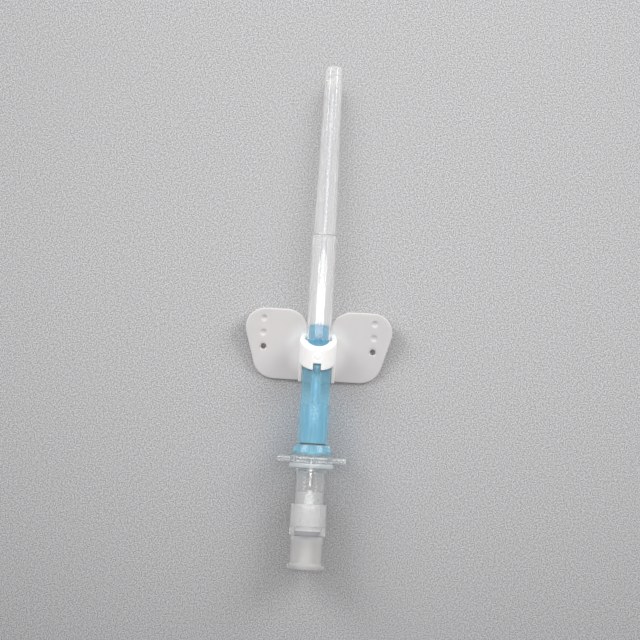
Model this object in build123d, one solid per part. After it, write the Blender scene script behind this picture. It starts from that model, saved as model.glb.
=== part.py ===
"""Winged cannula: a catheter on a steel needle, with butterfly wings, sheath and vented blood chamber.

Every turned piece lies on the needle's axis. A station is a distance in mm along that axis from the
hub's shoulder, where the hub's body meets its neck: positive towards the needle's point, negative
towards the vent plug. The part's +Y runs to the needle's point, X across the wings and Z up. The
origin is under the middle of the whole length, at the lowest point of the round stop disc.
"""

import os
from math import asin, cos, degrees, radians, sqrt, tan

from build123d import *

# Fits between pieces, as radial or end gaps in mm, and how far a cutting tool runs past its work
bond_gap = 0.01
slide_gap = 0.03
seat_gap = 0.05
clear_gap = 0.10
cut_margin = 1.0

# Locking taper: the radius changes by this much for each mm of length, 6 % on the diameter
taper_rate = 0.03

# Needle: steel tube with a long bevel and two lancet facets
needle_r = 0.48
needle_bore_r = 0.33
needle_length = 83.6
needle_tail_out = 3.05
bevel_angle = 17.0
lancet_angle = 26.0
lancet_turn = 40.0

# Catheter: soft tube drawn down at its tip, flared over the bush inside the hub
catheter_wall = 0.13
catheter_setback = 1.2
catheter_tip_length = 1.4
catheter_tip_wall = 0.06

# Bush: metal eyelet that wedges the catheter's flared end in the hub
bush_wall = 0.09
bush_length = 5.8
bush_flange_r = 1.0
bush_flange_length = 0.3
flare_length = 0.4

# Catheter hub
nose_r = 2.05
nose_length = 3.1
nose_edge = 0.28
neck_rise = 0.15
neck_length = 4.6
body_r = 2.90
body_front_length = 8.6
body_step = 0.13
body_rear_length = 8.0
relief_length = 0.35
relief_depth = 0.22
lock_length = 1.9
lock_front_r = 3.50
lock_mouth_r = 3.97
lock_lip = 0.85
socket_mouth_r = 2.15
key_width = 1.50
key_length = 2.1
key_height = 0.60

# Collar of the wing moulding: its raked ends, its keyway and the trough behind it
collar_wall = 0.75
collar_lap = 0.20
front_rake = 33.0
rear_rake = 29.5
rear_rake_station = 0.3
trough_length = 4.15
trough_top = -0.35
keyway_front = -0.35

# Wings: a thin plate, pitched against the needle's axis, flat at the root and curling up outboard,
# whose inner edges reach under the sheath's rim by slot_lap
wing_pitch = 10.2
wing_rear_station = -3.85
wing_rear_lift = 0.19
wing_thickness = 0.50
wing_chord = 14.7
wing_half_span = 15.12
wing_side_lean = 15.9
wing_front_radius = 4.0
wing_rear_radius = 4.5
wing_inner_radius = 4.6
wing_flat_half_width = 9.0
wing_curl_radius = 36.0
wing_edge = 0.16
slot_lap = 0.42

# Living hinges: thin webs in the wings' top skin, with a relief groove under them
hinge_offset = 0.55
hinge_gap = 0.04
hinge_web = 0.28
hinge_relief = 0.30

# Grip dimples and suture hole, in one row back from the wings' front edge, in from their widest point
dimple_inset = 3.70
dimple_front_inset = 2.11
dimple_pitch = 2.97
dimple_count = 2
dimple_r = 0.75
dimple_floor_r = 0.60
dimple_depth = 0.15
suture_hole_inset = 3.82
suture_hole_r = 0.58

# Protective sheath: sleeve with a flared rim, step, tapering front tube, solid end with a low crown
sheath_rim_wall = 0.54
sheath_flare = 0.12
sheath_flare_length = 0.8
sheath_rear_length = 21.5
sheath_step_length = 0.25
sheath_step_depth = 0.20
sheath_end_length = 2.5
sheath_tip_r = 1.68
sheath_crown_r = 0.75
sheath_crown = 0.16
sheath_dome = 0.55
sheath_front_bore_r = 1.29
bore_cone = 1.1

# Needle hub
taper_nose_length = 6.8
ear_gap = 0.4
ear_span = 14.4
ear_length = 1.5
ear_height = 2.6
ear_round = 0.60
grip_width = 8.6
grip_height = 6.4
grip_chamfer = 1.2
disc_r = 4.65
disc_thickness = 0.9
chamber_r = 3.10
chamber_wall = 0.55
chamber_length = 11.9
chamber_floor = 0.6

# Vent plug
spigot_wall = 0.60
nub_gap = 0.80
spigot_end_wall = 0.6
spigot_slot_width = 0.7
spigot_slot_length = 1.8
nub_r = 0.60
nub_length = 0.45
skirt_wall = 0.60
skirt_overlap = 4.5
skirt_end_wall = 2.0
barrel_r = 3.28
port_rim_r = 3.90
port_rim_flare = 0.5
port_rim_length = 0.7
port_r = 2.30
port_depth = 5.25
filter_seat_r = 2.10
filter_thickness = 0.80
web_thickness = 0.75
web_hole_r = 0.80

# Stations and radii that follow from the sizes above
neck_r = nose_r + neck_rise
nose_front = neck_length + nose_length
key_r = body_r + key_height
hub_step = -body_front_length
hub_rear = hub_step - body_rear_length
lock_front = hub_rear - relief_length
hub_mouth = lock_front - lock_length
socket_floor_r = socket_mouth_r - taper_rate * (hub_step - hub_mouth)

nose_tip = hub_mouth + taper_nose_length
ears_front = hub_mouth - ear_gap
disc_front = ears_front - ear_length
disc_rear = disc_front - disc_thickness
chamber_front = disc_rear - chamber_floor
chamber_rear = disc_rear - chamber_length
chamber_bore_r = chamber_r - chamber_wall

needle_tail = chamber_front - needle_tail_out
needle_tip = needle_tail + needle_length
catheter_tip = needle_tip - catheter_setback
catheter_bore_r = needle_r + slide_gap
catheter_r = catheter_bore_r + catheter_wall
bush_bore_r = needle_r + slide_gap
bush_r = bush_bore_r + bush_wall
bush_rear = hub_step - bush_flange_length
bush_front = bush_rear + bush_length
flare_bore_r = bush_r + bond_gap
flare_r = flare_bore_r + catheter_wall
flare_front = bush_front + flare_length

sheath_rim = neck_length + bond_gap
sheath_bore_r = nose_r + slide_gap
sheath_rim_r = sheath_bore_r + sheath_rim_wall
sheath_sleeve_r = sheath_rim_r - sheath_flare
sheath_waist_r = sheath_sleeve_r - sheath_step_depth
sheath_step = sheath_rim + sheath_rear_length
sheath_end = needle_tip + bore_cone * (needle_r + seat_gap) / sheath_front_bore_r
sheath_tip = sheath_end + sheath_end_length

collar_r = body_r + clear_gap + collar_wall
front_rake_station = neck_length + collar_lap
slot_half_width = sheath_rim_r - slot_lap
hinge_half_span = collar_r + hinge_offset
wing_rear_drop = collar_r - wing_rear_lift
suture_hole_y = wing_chord - dimple_front_inset - dimple_count * dimple_pitch

spigot_r = chamber_bore_r - slide_gap
spigot_front = needle_tail - nub_gap - nub_length
skirt_bore_r = chamber_r + slide_gap
skirt_r = skirt_bore_r + skirt_wall
skirt_front = chamber_rear + skirt_overlap
skirt_rear = chamber_rear - skirt_end_wall
web_rear = skirt_rear - web_thickness
port_floor = web_rear - filter_thickness
plug_rear = port_floor - port_depth
barrel_rear = plug_rear + port_rim_length + port_rim_flare

middle_station = (sheath_tip + plug_rear) / 2
axis_height = disc_r

# The wing plate's own frame: origin at its rear edge on the top skin, X across, Y forward, Z its normal
wing_frame = Pos(0, wing_rear_station, -wing_rear_drop) * Rot(wing_pitch, 0, 0)


def turned(stations):
    """Returns the solid that a closed outline of (station, radius) corners sweeps round the axis."""
    corners = [(radius, station) for station, radius in stations]
    return revolve(make_face(Polyline(*corners, close=True)), Axis.Y)


def rod(rear, front, radius):
    """Returns a round bar on the axis between two stations."""
    return turned([(rear, 0), (rear, radius), (front, radius), (front, 0)])


def block(width, rear, front, bottom, top):
    """Returns a box centred across the axis, between two stations and two heights from the axis."""
    middle = Pos(0, (rear + front) / 2, (bottom + top) / 2)
    return middle * Box(width, front - rear, top - bottom)


def above_slope(angle, depth):
    """Returns all that lies above a plane that falls forward by angle and meets the tip at depth."""
    size = 2 * needle_length
    return Pos(0, needle_tip, -depth) * Rot(-angle, 0, 0) * Pos(0, 0, size / 2) * Box(size, size, size)


def make_needle():
    """The steel tube, blunt behind, with a long bevel and two lancet facets at the point."""
    tube = turned([(needle_tail, needle_bore_r), (needle_tail, needle_r),
                   (needle_tip, needle_r), (needle_tip, needle_bore_r)])
    tube -= above_slope(bevel_angle, needle_r)
    for side in (-1, 1):
        depth = needle_r * cos(radians(lancet_turn))
        tube -= Rot(0, side * lancet_turn, 0) * above_slope(lancet_angle, depth)
    return tube


def make_catheter_tube():
    """The soft tube: thin at its tip, even along its length, flared over the bush."""
    flare_rear = hub_step + bond_gap
    return turned([
        (catheter_tip, catheter_bore_r), (catheter_tip, catheter_bore_r + catheter_tip_wall),
        (catheter_tip - catheter_tip_length, catheter_r), (flare_front, catheter_r),
        (bush_front, flare_r), (flare_rear, flare_r), (flare_rear, flare_bore_r),
        (bush_front + bond_gap, flare_bore_r), (flare_front, catheter_bore_r),
    ])


def make_catheter_bush():
    """The metal eyelet, with the flared rim that stops it at the socket's floor."""
    return turned([
        (bush_front, bush_bore_r), (bush_front, bush_r), (hub_step - bond_gap, bush_r),
        (hub_step - bond_gap, bush_flange_r), (bush_rear, bush_flange_r), (bush_rear, bush_bore_r),
    ])


def make_catheter_hub():
    """The coloured hub: nose, neck, body, lock collar, taper socket, tube channel and key rib."""
    hub = turned([
        (hub_mouth, 0), (hub_mouth, lock_mouth_r), (hub_mouth + lock_lip, lock_mouth_r),
        (lock_front, lock_front_r), (lock_front, body_r - relief_depth),
        (hub_rear, body_r - relief_depth), (hub_rear, body_r + body_step),
        (hub_step, body_r + body_step), (hub_step, body_r), (0, body_r), (0, neck_r),
        (neck_length, neck_r), (neck_length, nose_r), (nose_front - nose_edge, nose_r),
        (nose_front, nose_r - nose_edge), (nose_front, 0),
    ])
    key_foot = sqrt(body_r**2 - (key_width / 2) ** 2) - clear_gap
    key = block(key_width, -key_length, keyway_front - seat_gap, key_foot, key_r)
    hub += key & rod(-key_length, 0, key_r)
    hub -= turned([
        (hub_mouth - cut_margin, 0), (hub_mouth - cut_margin, socket_mouth_r + taper_rate * cut_margin),
        (hub_step, socket_floor_r), (hub_step, 0),
    ])
    hub -= turned([
        (hub_step - cut_margin, 0), (hub_step - cut_margin, flare_r + bond_gap),
        (bush_front, flare_r + bond_gap), (flare_front, catheter_r + bond_gap),
        (nose_front + cut_margin, catheter_r + bond_gap), (nose_front + cut_margin, 0),
    ])
    return hub


def collar_silhouette():
    """Returns the collar's side view, raked at both ends, with the trough's lower rear part."""
    reach = collar_r + cut_margin
    lean_front = tan(radians(front_rake))
    lean_rear = tan(radians(rear_rake))
    side = Polyline(
        (rear_rake_station - reach * lean_rear, reach),
        (front_rake_station - reach * lean_front, reach),
        (front_rake_station + reach * lean_front, -reach),
        (-trough_length, -reach),
        (-trough_length, trough_top),
        (rear_rake_station - trough_top * lean_rear, trough_top),
        close=True,
    )
    return extrude(Plane.YZ * make_face(side), amount=reach, both=True)


def collar_bore():
    """Returns what the hub and the sheath's rim need inside the collar, as one stepped tool."""
    seat = neck_length - clear_gap
    far = front_rake_station + 2 * collar_r
    return turned([
        (-trough_length - cut_margin, 0), (-trough_length - cut_margin, body_r + clear_gap),
        (seat_gap, body_r + clear_gap), (seat_gap, neck_r + seat_gap), (seat, neck_r + seat_gap),
        (seat, sheath_rim_r + clear_gap), (far, sheath_rim_r + clear_gap), (far, 0),
    ])


def plate_section():
    """Returns the wing plate's section: flat to wing_flat_half_width, then curling up, as a face."""
    turn = degrees((wing_half_span + cut_margin - wing_flat_half_width) / wing_curl_radius)
    start = Vector(wing_flat_half_width, 0)
    centre = Vector(wing_flat_half_width, wing_curl_radius)
    skin = CenterArc(centre, wing_curl_radius, -90, turn)
    under = CenterArc(centre, wing_curl_radius + wing_thickness, -90, turn)
    drop = Vector(0, wing_thickness)
    edges = [
        Line((0, 0), start), skin, Line(skin @ 1, under @ 1), under,
        Line(start - drop, Vector(0, 0) - drop), Line(Vector(0, 0) - drop, (0, 0)),
    ]
    return Plane.XZ * make_face(edges)


def wing_outline():
    """Returns the right wing's outline seen along its normal: a leaning side and three round corners."""
    lean = radians(wing_side_lean)
    front_corner = wing_half_span + wing_front_radius * (tan(lean) + 1 / cos(lean) - 1)
    rear_corner = front_corner - wing_chord * tan(lean)
    corners = [(slot_half_width, 0), (rear_corner, 0), (front_corner, wing_chord),
               (slot_half_width, wing_chord)]
    radii = [0, wing_rear_radius, wing_front_radius, wing_inner_radius]
    return make_face(FilletPolyline(*corners, radius=radii, close=True))


def plate_blank():
    """Returns the right half of the wing plate, root flange included, with its free edges eased."""
    slab = extrude(plate_section(), amount=-wing_chord)
    plate = slab & extrude(wing_outline(), amount=wing_curl_radius, both=True)
    free = [edge for edge in plate.edges() if is_free_edge(edge)]
    return chamfer(free, wing_edge)


def is_free_edge(edge):
    """Tells whether an edge of the plate is one of those that its mould eases."""
    box = edge.bounding_box()
    upright = box.size.Z > wing_thickness - clear_gap and max(box.size.X, box.size.Y) < clear_gap
    return not upright and box.max.X > slot_half_width + clear_gap


def hinge_relief_groove():
    """Returns the groove under the living hinge, which leaves the web in the top skin."""
    depth = wing_thickness - hinge_web
    middle = Pos(hinge_half_span, wing_chord / 2, -hinge_web - depth)
    return middle * Box(2 * hinge_relief, 2 * wing_chord, 2 * depth)


def outboard(start):
    """Returns all that lies further across than start, in the plate's frame."""
    size = 2 * wing_chord + wing_half_span
    return Pos(start + size / 2, wing_chord / 2, 0) * Box(size, size, size)


def wing_features():
    """Returns the suture hole and the grip dimples of the right wing, as one tool."""
    hole = Cylinder(suture_hole_r, 2 * wing_curl_radius)
    tool = on_skin(wing_half_span - suture_hole_inset, suture_hole_y) * hole
    widening = (dimple_r - dimple_floor_r) / dimple_depth
    dimple = Cone(dimple_floor_r, dimple_r + widening * dimple_depth, 2 * dimple_depth)
    for step in range(1, dimple_count + 1):
        tool += on_skin(wing_half_span - dimple_inset, suture_hole_y + step * dimple_pitch) * dimple
    return tool


def on_skin(across, forward):
    """Returns a place on the curled top skin of the wing, turned to the skin's own slope."""
    turn = asin(max(0, across - wing_flat_half_width) / wing_curl_radius)
    height = wing_curl_radius * (1 - cos(turn))
    return Pos(across, forward, height) * Rot(0, -degrees(turn), 0)


def make_wing_collar():
    """The middle of the wing moulding: collar, trough, and the flanges that carry the wings."""
    solid = collar_silhouette() & rod(-trough_length, front_rake_station + 2 * collar_r, collar_r)
    flange = plate_blank() - hinge_relief_groove() - outboard(hinge_half_span - hinge_gap / 2)
    bridge_chord = (neck_length - wing_rear_station) / cos(radians(wing_pitch))
    bridge = Pos(0, bridge_chord / 2, -wing_thickness / 2)
    bridge *= Box(2 * (slot_half_width + clear_gap), bridge_chord, wing_thickness)
    solid += wing_frame * bridge
    solid += wing_frame * flange
    solid += wing_frame * mirror(flange, about=Plane.YZ)
    solid -= collar_bore()
    keyway_width = key_width + 2 * seat_gap
    return solid - block(keyway_width, -2 * collar_r, keyway_front, 0, 2 * collar_r)


def make_wing(side):
    """One wing: side is 1 for the right and -1 for the left."""
    wing = (plate_blank() - hinge_relief_groove()) & outboard(hinge_half_span + hinge_gap / 2)
    wing -= wing_features()
    if side < 0:
        wing = mirror(wing, about=Plane.YZ)
    return wing_frame * wing


def make_protective_sheath():
    """The clear cover: sleeve with a step to a tapering tube, and a solid end with a low crown."""
    return turned([
        (sheath_rim, sheath_bore_r), (sheath_rim, sheath_rim_r),
        (sheath_rim + sheath_flare_length, sheath_sleeve_r), (sheath_step, sheath_sleeve_r),
        (sheath_step + sheath_step_length, sheath_waist_r), (sheath_tip - sheath_dome, sheath_tip_r),
        (sheath_tip - sheath_crown, sheath_crown_r), (sheath_tip, 0), (sheath_end, 0),
        (sheath_end - bore_cone, sheath_front_bore_r), (sheath_step, sheath_front_bore_r),
        (sheath_step, sheath_bore_r),
    ])


def make_needle_hub():
    """The clear hub: taper nose, grip block with ears, stop disc and flashback chamber."""
    mouth_r = socket_mouth_r - bond_gap
    hub = turned([
        (nose_tip, 0), (nose_tip, mouth_r - taper_rate * taper_nose_length),
        (ears_front, mouth_r + taper_rate * ear_gap), (disc_front, mouth_r), (disc_front, disc_r),
        (disc_rear, disc_r), (disc_rear, chamber_r), (chamber_rear, chamber_r), (chamber_rear, 0),
    ])
    grip = block(grip_width, disc_front, ears_front, -grip_height / 2, grip_height / 2)
    hub += chamfer(grip.edges().filter_by(Axis.Y), grip_chamfer)
    ears = block(ear_span, disc_front, ears_front, -ear_height / 2, ear_height / 2)
    hub += fillet(ears.edges().filter_by(Axis.Z), ear_round)
    hub -= rod(chamber_rear - cut_margin, chamber_front, chamber_bore_r)
    return hub - rod(chamber_rear - cut_margin, nose_tip + cut_margin, needle_r + bond_gap)


def make_vent_plug():
    """The frosted plug: slotted spigot in the chamber, skirt round it, barrel with an open port."""
    plug = turned([
        (spigot_front, 0), (spigot_front, spigot_r), (chamber_rear - slide_gap, spigot_r),
        (chamber_rear - slide_gap, skirt_bore_r), (skirt_front, skirt_bore_r), (skirt_front, skirt_r),
        (skirt_rear, skirt_r), (skirt_rear, barrel_r), (barrel_rear, barrel_r),
        (plug_rear + port_rim_length, port_rim_r), (plug_rear, port_rim_r), (plug_rear, 0),
    ])
    plug += rod(spigot_front - bond_gap, spigot_front + nub_length, nub_r)
    plug -= rod(skirt_rear, spigot_front - spigot_end_wall, spigot_r - spigot_wall)
    plug -= rod(plug_rear - cut_margin, port_floor, port_r)
    plug -= rod(port_floor - cut_margin, web_rear, filter_seat_r)
    plug -= rod(web_rear - cut_margin, skirt_rear + cut_margin, web_hole_r)
    slot_rear = spigot_front - spigot_end_wall - spigot_slot_length
    slot_front = spigot_front - spigot_end_wall
    return plug - block(2 * chamber_r, slot_rear, slot_front, -spigot_slot_width / 2, spigot_slot_width / 2)


def make_vent_filter():
    """The porous disc in its seat at the port's floor, against the plug's web."""
    return rod(port_floor, web_rear - bond_gap, filter_seat_r - bond_gap)


def main():
    """Builds every piece, places it in the part's frame and writes it to parts/."""
    pieces = {
        "needle": make_needle(),
        "catheter_tube": make_catheter_tube(),
        "catheter_bush": make_catheter_bush(),
        "catheter_hub": make_catheter_hub(),
        "wing_collar": make_wing_collar(),
        "wing_left": make_wing(-1),
        "wing_right": make_wing(1),
        "protective_sheath": make_protective_sheath(),
        "needle_hub": make_needle_hub(),
        "vent_plug": make_vent_plug(),
        "vent_filter": make_vent_filter(),
    }
    os.makedirs("parts", exist_ok=True)
    place = Pos(0, -middle_station, axis_height)
    for name, piece in pieces.items():
        export_step(place * piece, f"parts/{name}.step")
    print("length", sheath_tip - plug_rear, "middle station", middle_station)


if __name__ == "__main__":
    main()
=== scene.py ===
"""Studio scene of a winged catheter-over-needle cannula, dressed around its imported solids.

Sizes are in millimetres. A station is a distance along the needle's axis from the hub's shoulder,
positive towards the needle's point. Meshes are written in metres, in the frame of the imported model.
"""

from __future__ import annotations

import logging
import math
from dataclasses import dataclass, field, replace
from enum import Enum
from typing import Callable, ClassVar

import bmesh
import bpy
from mathutils import Matrix, Vector
from mathutils.geometry import delaunay_2d_cdt

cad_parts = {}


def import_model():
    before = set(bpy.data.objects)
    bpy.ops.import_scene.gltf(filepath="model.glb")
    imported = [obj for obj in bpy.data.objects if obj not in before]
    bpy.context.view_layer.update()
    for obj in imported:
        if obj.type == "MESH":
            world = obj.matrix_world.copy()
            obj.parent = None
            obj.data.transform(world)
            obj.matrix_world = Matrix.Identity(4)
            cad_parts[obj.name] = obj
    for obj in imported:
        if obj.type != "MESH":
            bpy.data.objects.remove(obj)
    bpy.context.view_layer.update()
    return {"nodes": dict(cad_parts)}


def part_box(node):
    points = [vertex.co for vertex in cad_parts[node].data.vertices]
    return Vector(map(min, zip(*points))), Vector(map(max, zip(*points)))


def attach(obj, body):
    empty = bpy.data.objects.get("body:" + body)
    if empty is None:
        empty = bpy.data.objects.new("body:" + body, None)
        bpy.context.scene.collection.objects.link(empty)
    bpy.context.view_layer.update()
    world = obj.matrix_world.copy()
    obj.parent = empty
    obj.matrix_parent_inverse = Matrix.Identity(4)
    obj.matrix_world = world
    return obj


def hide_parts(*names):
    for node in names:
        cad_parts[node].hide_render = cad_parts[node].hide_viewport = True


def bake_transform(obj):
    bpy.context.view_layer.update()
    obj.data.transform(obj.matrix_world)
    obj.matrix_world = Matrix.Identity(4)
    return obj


LOG = logging.getLogger("cannula")
MM = 0.001  # One millimetre in metres.
BEVEL_STEPS = 3  # Chords across a bevel.
SIDE_SHARE = 0.45  # Most of a side that the rounding of one corner takes.
MERGED = 1e-5  # Distance under which two points count as one.
LYING_FLAT = 0.95  # Least height part in the normal of a face that lies flat.
FACING_AHEAD = 0.5  # Least forward part in the normal of a face that faces ahead.
Color = tuple[float, float, float]
Corner = tuple[float, float, float]
Section = list[tuple[float, float]]


class Substance(Enum):
    """How a finish treats light."""

    OPAQUE = "opaque"
    CLEAR = "clear"
    METAL = "metal"


@dataclass(frozen=True)
class Finish:
    """The look of one material.

    Attributes:
        name: The material's name.
        substance: How the finish treats light.
        light: Linear colour of its lighter areas.
        dark: Linear colour of its darker areas.
        mottle_scale: Size of the colour clouds, as a noise scale per metre.
        roughness: Lowest roughness.
        roughness_spread: How much the roughness rises in the rougher patches.
        grain_scale: Scale of the fine relief per metre.
        stretch: How many times longer the relief is along the axis than across it.
        relief: Depth of the relief in millimetres.
        transmission: Share of light that passes into the material.
        ior: Index of refraction.
        subsurface: Share of light that scatters under the skin.
        scatter: How far light scatters under the skin, in millimetres.
        lamp_tint: Colour of the lamp light that a clear finish lets through.
        thick_tone_and_painted_light: Colour where the wall is thick, if it differs; it is partly the tone of
            the thicker wall and partly painted light and shade.
        thick_station: Station of the middle of the thick walls.
        thick_radius: Distance from that middle, seen from above, up to which the wall is thick.
        thin_radius: Distance from it at which the wall is thin.
    """

    name: str
    substance: Substance
    light: Color
    dark: Color
    mottle_scale: float = 90.0
    roughness: float = 0.3
    roughness_spread: float = 0.1
    grain_scale: float = 2500.0
    stretch: float = 1.0
    relief: float = 0.01
    transmission: float = 0.0
    ior: float = 1.5
    subsurface: float = 0.0
    scatter: float = 0.6
    lamp_tint: Color = (0.9, 0.9, 0.9)
    thick_tone_and_painted_light: Color | None = None
    thick_station: float = 0.0
    thick_radius: float = 1.0
    thin_radius: float = 2.0


NEEDLE_STEEL = Finish(
    "needle_steel", Substance.METAL, (0.52, 0.51, 0.50), (0.38, 0.37, 0.36), mottle_scale=400.0,
    roughness=0.20, roughness_spread=0.16, grain_scale=9000.0, stretch=60.0, relief=0.002,
)
BUSH_STEEL = Finish(
    "bush_steel", Substance.METAL, (0.48, 0.48, 0.47), (0.38, 0.38, 0.38), mottle_scale=500.0,
    roughness=0.14, roughness_spread=0.12, grain_scale=7000.0, stretch=8.0, relief=0.002,
)
CATHETER_FILM = Finish(
    "catheter_film", Substance.CLEAR, (0.88, 0.89, 0.94), (0.82, 0.84, 0.90), mottle_scale=300.0,
    roughness=0.12, roughness_spread=0.06, grain_scale=3000.0, stretch=40.0, relief=0.001,
    transmission=0.88, ior=1.34, lamp_tint=(0.94, 0.94, 0.945),
)
# Deeper blue towards the nose: partly the thicker blue wall, partly painted shade that darkens the nose under
# the sheath's haze.
BLUE_PLASTIC = Finish(
    "blue_plastic", Substance.CLEAR, (0.47, 0.79, 0.92), (0.39, 0.74, 0.90), mottle_scale=160.0,
    roughness=0.18, roughness_spread=0.05, grain_scale=1500.0, stretch=6.0, relief=0.0004,
    transmission=0.74, ior=1.36, lamp_tint=(0.66, 0.81, 0.88),
    thick_tone_and_painted_light=(0.22, 0.56, 0.75), thick_station=6.9, thick_radius=2.6, thin_radius=4.4,
)
# Painted shade: a dark grey on the floor of the groove in front of the lock, where shade falls.
GROOVE_PAINTED_SHADE = Finish(
    "groove_painted_shade", Substance.OPAQUE, (0.20, 0.22, 0.23), (0.15, 0.17, 0.18), mottle_scale=400.0,
    roughness=0.40, roughness_spread=0.10, grain_scale=3000.0, relief=0.004, ior=1.49,
)
# Whiter round the collar: partly the thicker white plastic, partly painted light on the collar's lit faces.
WHITE_PLASTIC = Finish(
    "white_plastic", Substance.OPAQUE, (0.700, 0.680, 0.672), (0.662, 0.646, 0.646), mottle_scale=120.0,
    roughness=0.42, roughness_spread=0.12, grain_scale=3800.0, relief=0.006,
    ior=1.48, subsurface=0.35, scatter=0.7,
    thick_tone_and_painted_light=(0.89, 0.875, 0.865), thick_station=2.6, thick_radius=3.8, thin_radius=7.6,
)
CLEAR_SHEATH = Finish(
    "clear_sheath", Substance.CLEAR, (0.990, 0.985, 0.980), (0.970, 0.968, 0.962), mottle_scale=140.0,
    roughness=0.028, roughness_spread=0.015, grain_scale=1700.0, stretch=60.0, relief=0.0001,
    transmission=0.80, ior=1.49, lamp_tint=(0.965, 0.965, 0.963),
)
SHEATH_MOUTH = replace(
    CLEAR_SHEATH, name="sheath_mouth", light=(0.985, 0.985, 0.985), dark=(0.965, 0.966, 0.968),
    roughness=0.05, roughness_spread=0.02, relief=0.0003, transmission=0.94, ior=1.30,
    lamp_tint=(0.95, 0.95, 0.95),
)
# Painted shade: a dark ring on the sheath's outer step, standing in for the dark line that refraction gives
# there.
SHEATH_STEP_PAINTED_SHADE = replace(
    CLEAR_SHEATH, name="sheath_step_painted_shade", light=(0.48, 0.46, 0.44), dark=(0.42, 0.40, 0.38),
    roughness=0.10, roughness_spread=0.02, stretch=1.0, relief=0.0003, transmission=0.50,
    lamp_tint=(0.90, 0.90, 0.90),
)
CLEAR_HUB = Finish(
    "clear_hub", Substance.CLEAR, (0.975, 0.975, 0.970), (0.950, 0.952, 0.948), mottle_scale=180.0,
    roughness=0.025, roughness_spread=0.02, grain_scale=1400.0, stretch=3.0, relief=0.0005,
    transmission=0.90, ior=1.52, lamp_tint=(0.71, 0.72, 0.72),
)
# Painted light: the disc's rim is made cloudier and bluer to stand in for the bright lines that its edges
# catch.
CLEAR_DISC_PAINTED_LIGHT = replace(
    CLEAR_HUB, name="clear_disc_painted_light", light=(0.930, 0.960, 0.975), dark=(0.900, 0.935, 0.950),
    roughness=0.06, roughness_spread=0.03, transmission=0.62,
)
# Painted shade: the ears' side faces are darkened to stand in for the dark outlines that refraction gives
# clear edges.
CLEAR_EDGE_PAINTED_SHADE = replace(
    CLEAR_HUB, name="clear_edge_painted_shade", light=(0.60, 0.595, 0.585), dark=(0.55, 0.546, 0.538),
    roughness=0.05, stretch=1.0, transmission=0.72, ior=1.40,
)
FROSTED_PLASTIC = Finish(
    "frosted_plastic", Substance.CLEAR, (0.780, 0.772, 0.762), (0.745, 0.738, 0.732), mottle_scale=260.0,
    roughness=0.20, roughness_spread=0.06, grain_scale=5200.0, relief=0.0008,
    transmission=0.62, ior=1.45, lamp_tint=(0.70, 0.70, 0.70),
)
FROSTED_CORE = replace(
    FROSTED_PLASTIC, name="frosted_core", light=(0.98, 0.978, 0.975), dark=(0.95, 0.95, 0.95),
    roughness=0.24, roughness_spread=0.08, relief=0.001, transmission=0.28, lamp_tint=(0.62, 0.62, 0.62),
)
FROSTED_RIM = replace(
    FROSTED_PLASTIC, name="frosted_rim", light=(0.790, 0.782, 0.770), dark=(0.755, 0.748, 0.742),
    lamp_tint=(0.20, 0.20, 0.20),
)
FROSTED_SKIRT = replace(
    FROSTED_PLASTIC, name="frosted_skirt", light=(0.92, 0.915, 0.910), dark=(0.89, 0.886, 0.882),
    roughness=0.15, roughness_spread=0.05, transmission=0.74, ior=1.38, lamp_tint=(0.90, 0.90, 0.90),
)
# Painted shade: a dark opaque band at the end of the spigot's bore, standing in for the shade seen through
# the plug there.
PLUG_PAINTED_SHADE = Finish(
    "plug_painted_shade", Substance.OPAQUE, (0.16, 0.17, 0.20), (0.12, 0.13, 0.155), mottle_scale=400.0,
    roughness=0.45, roughness_spread=0.10, grain_scale=3000.0, relief=0.004, ior=1.45,
)
FILTER_FIBRE = Finish(
    "filter_fibre", Substance.OPAQUE, (0.42, 0.42, 0.45), (0.32, 0.32, 0.34), mottle_scale=2600.0,
    roughness=0.80, roughness_spread=0.15, grain_scale=6500.0, relief=0.05, ior=1.45,
)


class NodeShop:
    """Adds and wires nodes in one node tree."""

    def __init__(self, tree: bpy.types.NodeTree) -> None:
        """Keeps the tree that the nodes go into."""
        self.tree = tree

    def add(
        self, kind: str, inputs: dict[str | int, object] | None = None, **settings: object
    ) -> bpy.types.Node:
        """Adds one node and feeds its inputs.

        Args:
            kind: The node's type name.
            inputs: What each input gets, by its name or number: a link from a socket, or a value.
            **settings: Attributes of the node, set before its inputs are fed.

        Returns:
            The new node.
        """
        node = self.tree.nodes.new(kind)
        for name, value in settings.items():
            setattr(node, name, value)
        for name, value in (inputs or {}).items():
            if isinstance(value, Field):
                value = value.socket
            if isinstance(value, bpy.types.NodeSocket):
                self.tree.links.new(value, node.inputs[name])
            else:
                node.inputs[name].default_value = value
        return node

    def declare(self, inputs: dict[str, str], outputs: dict[str, str]) -> None:
        """Args:
            inputs: The kind of each input, by its name.
            outputs: The kind of each output, by its name.
        """
        for way, sockets in (("INPUT", inputs), ("OUTPUT", outputs)):
            for name, kind in sockets.items():
                self.tree.interface.new_socket(name, in_out=way, socket_type=f"NodeSocket{kind}")

    def end_shape(self, shape: bpy.types.NodeSocket, finish: bpy.types.NodeSocket, output: str) -> None:
        """Ends a Geometry Nodes tree by making its shape real and setting its material.

        Args:
            shape: The shape.
            finish: The material.
            output: Name of the tree's output.
        """
        real = self.add("GeometryNodeRealizeInstances", {"Geometry": shape})
        dressed = self.add("GeometryNodeSetMaterial",
                           {"Geometry": real.outputs["Geometry"], "Material": finish})
        self.add("NodeGroupOutput", {output: dressed.outputs["Geometry"]})


def open_shop(owner: bpy.types.Material | bpy.types.World) -> NodeShop:
    """Empties the node tree of a material or a world.

    Args:
        owner: The material or world.

    Returns:
        A shop for its nodes.
    """
    owner.use_nodes = True
    owner.node_tree.nodes.clear()
    return NodeShop(owner.node_tree)


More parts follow.
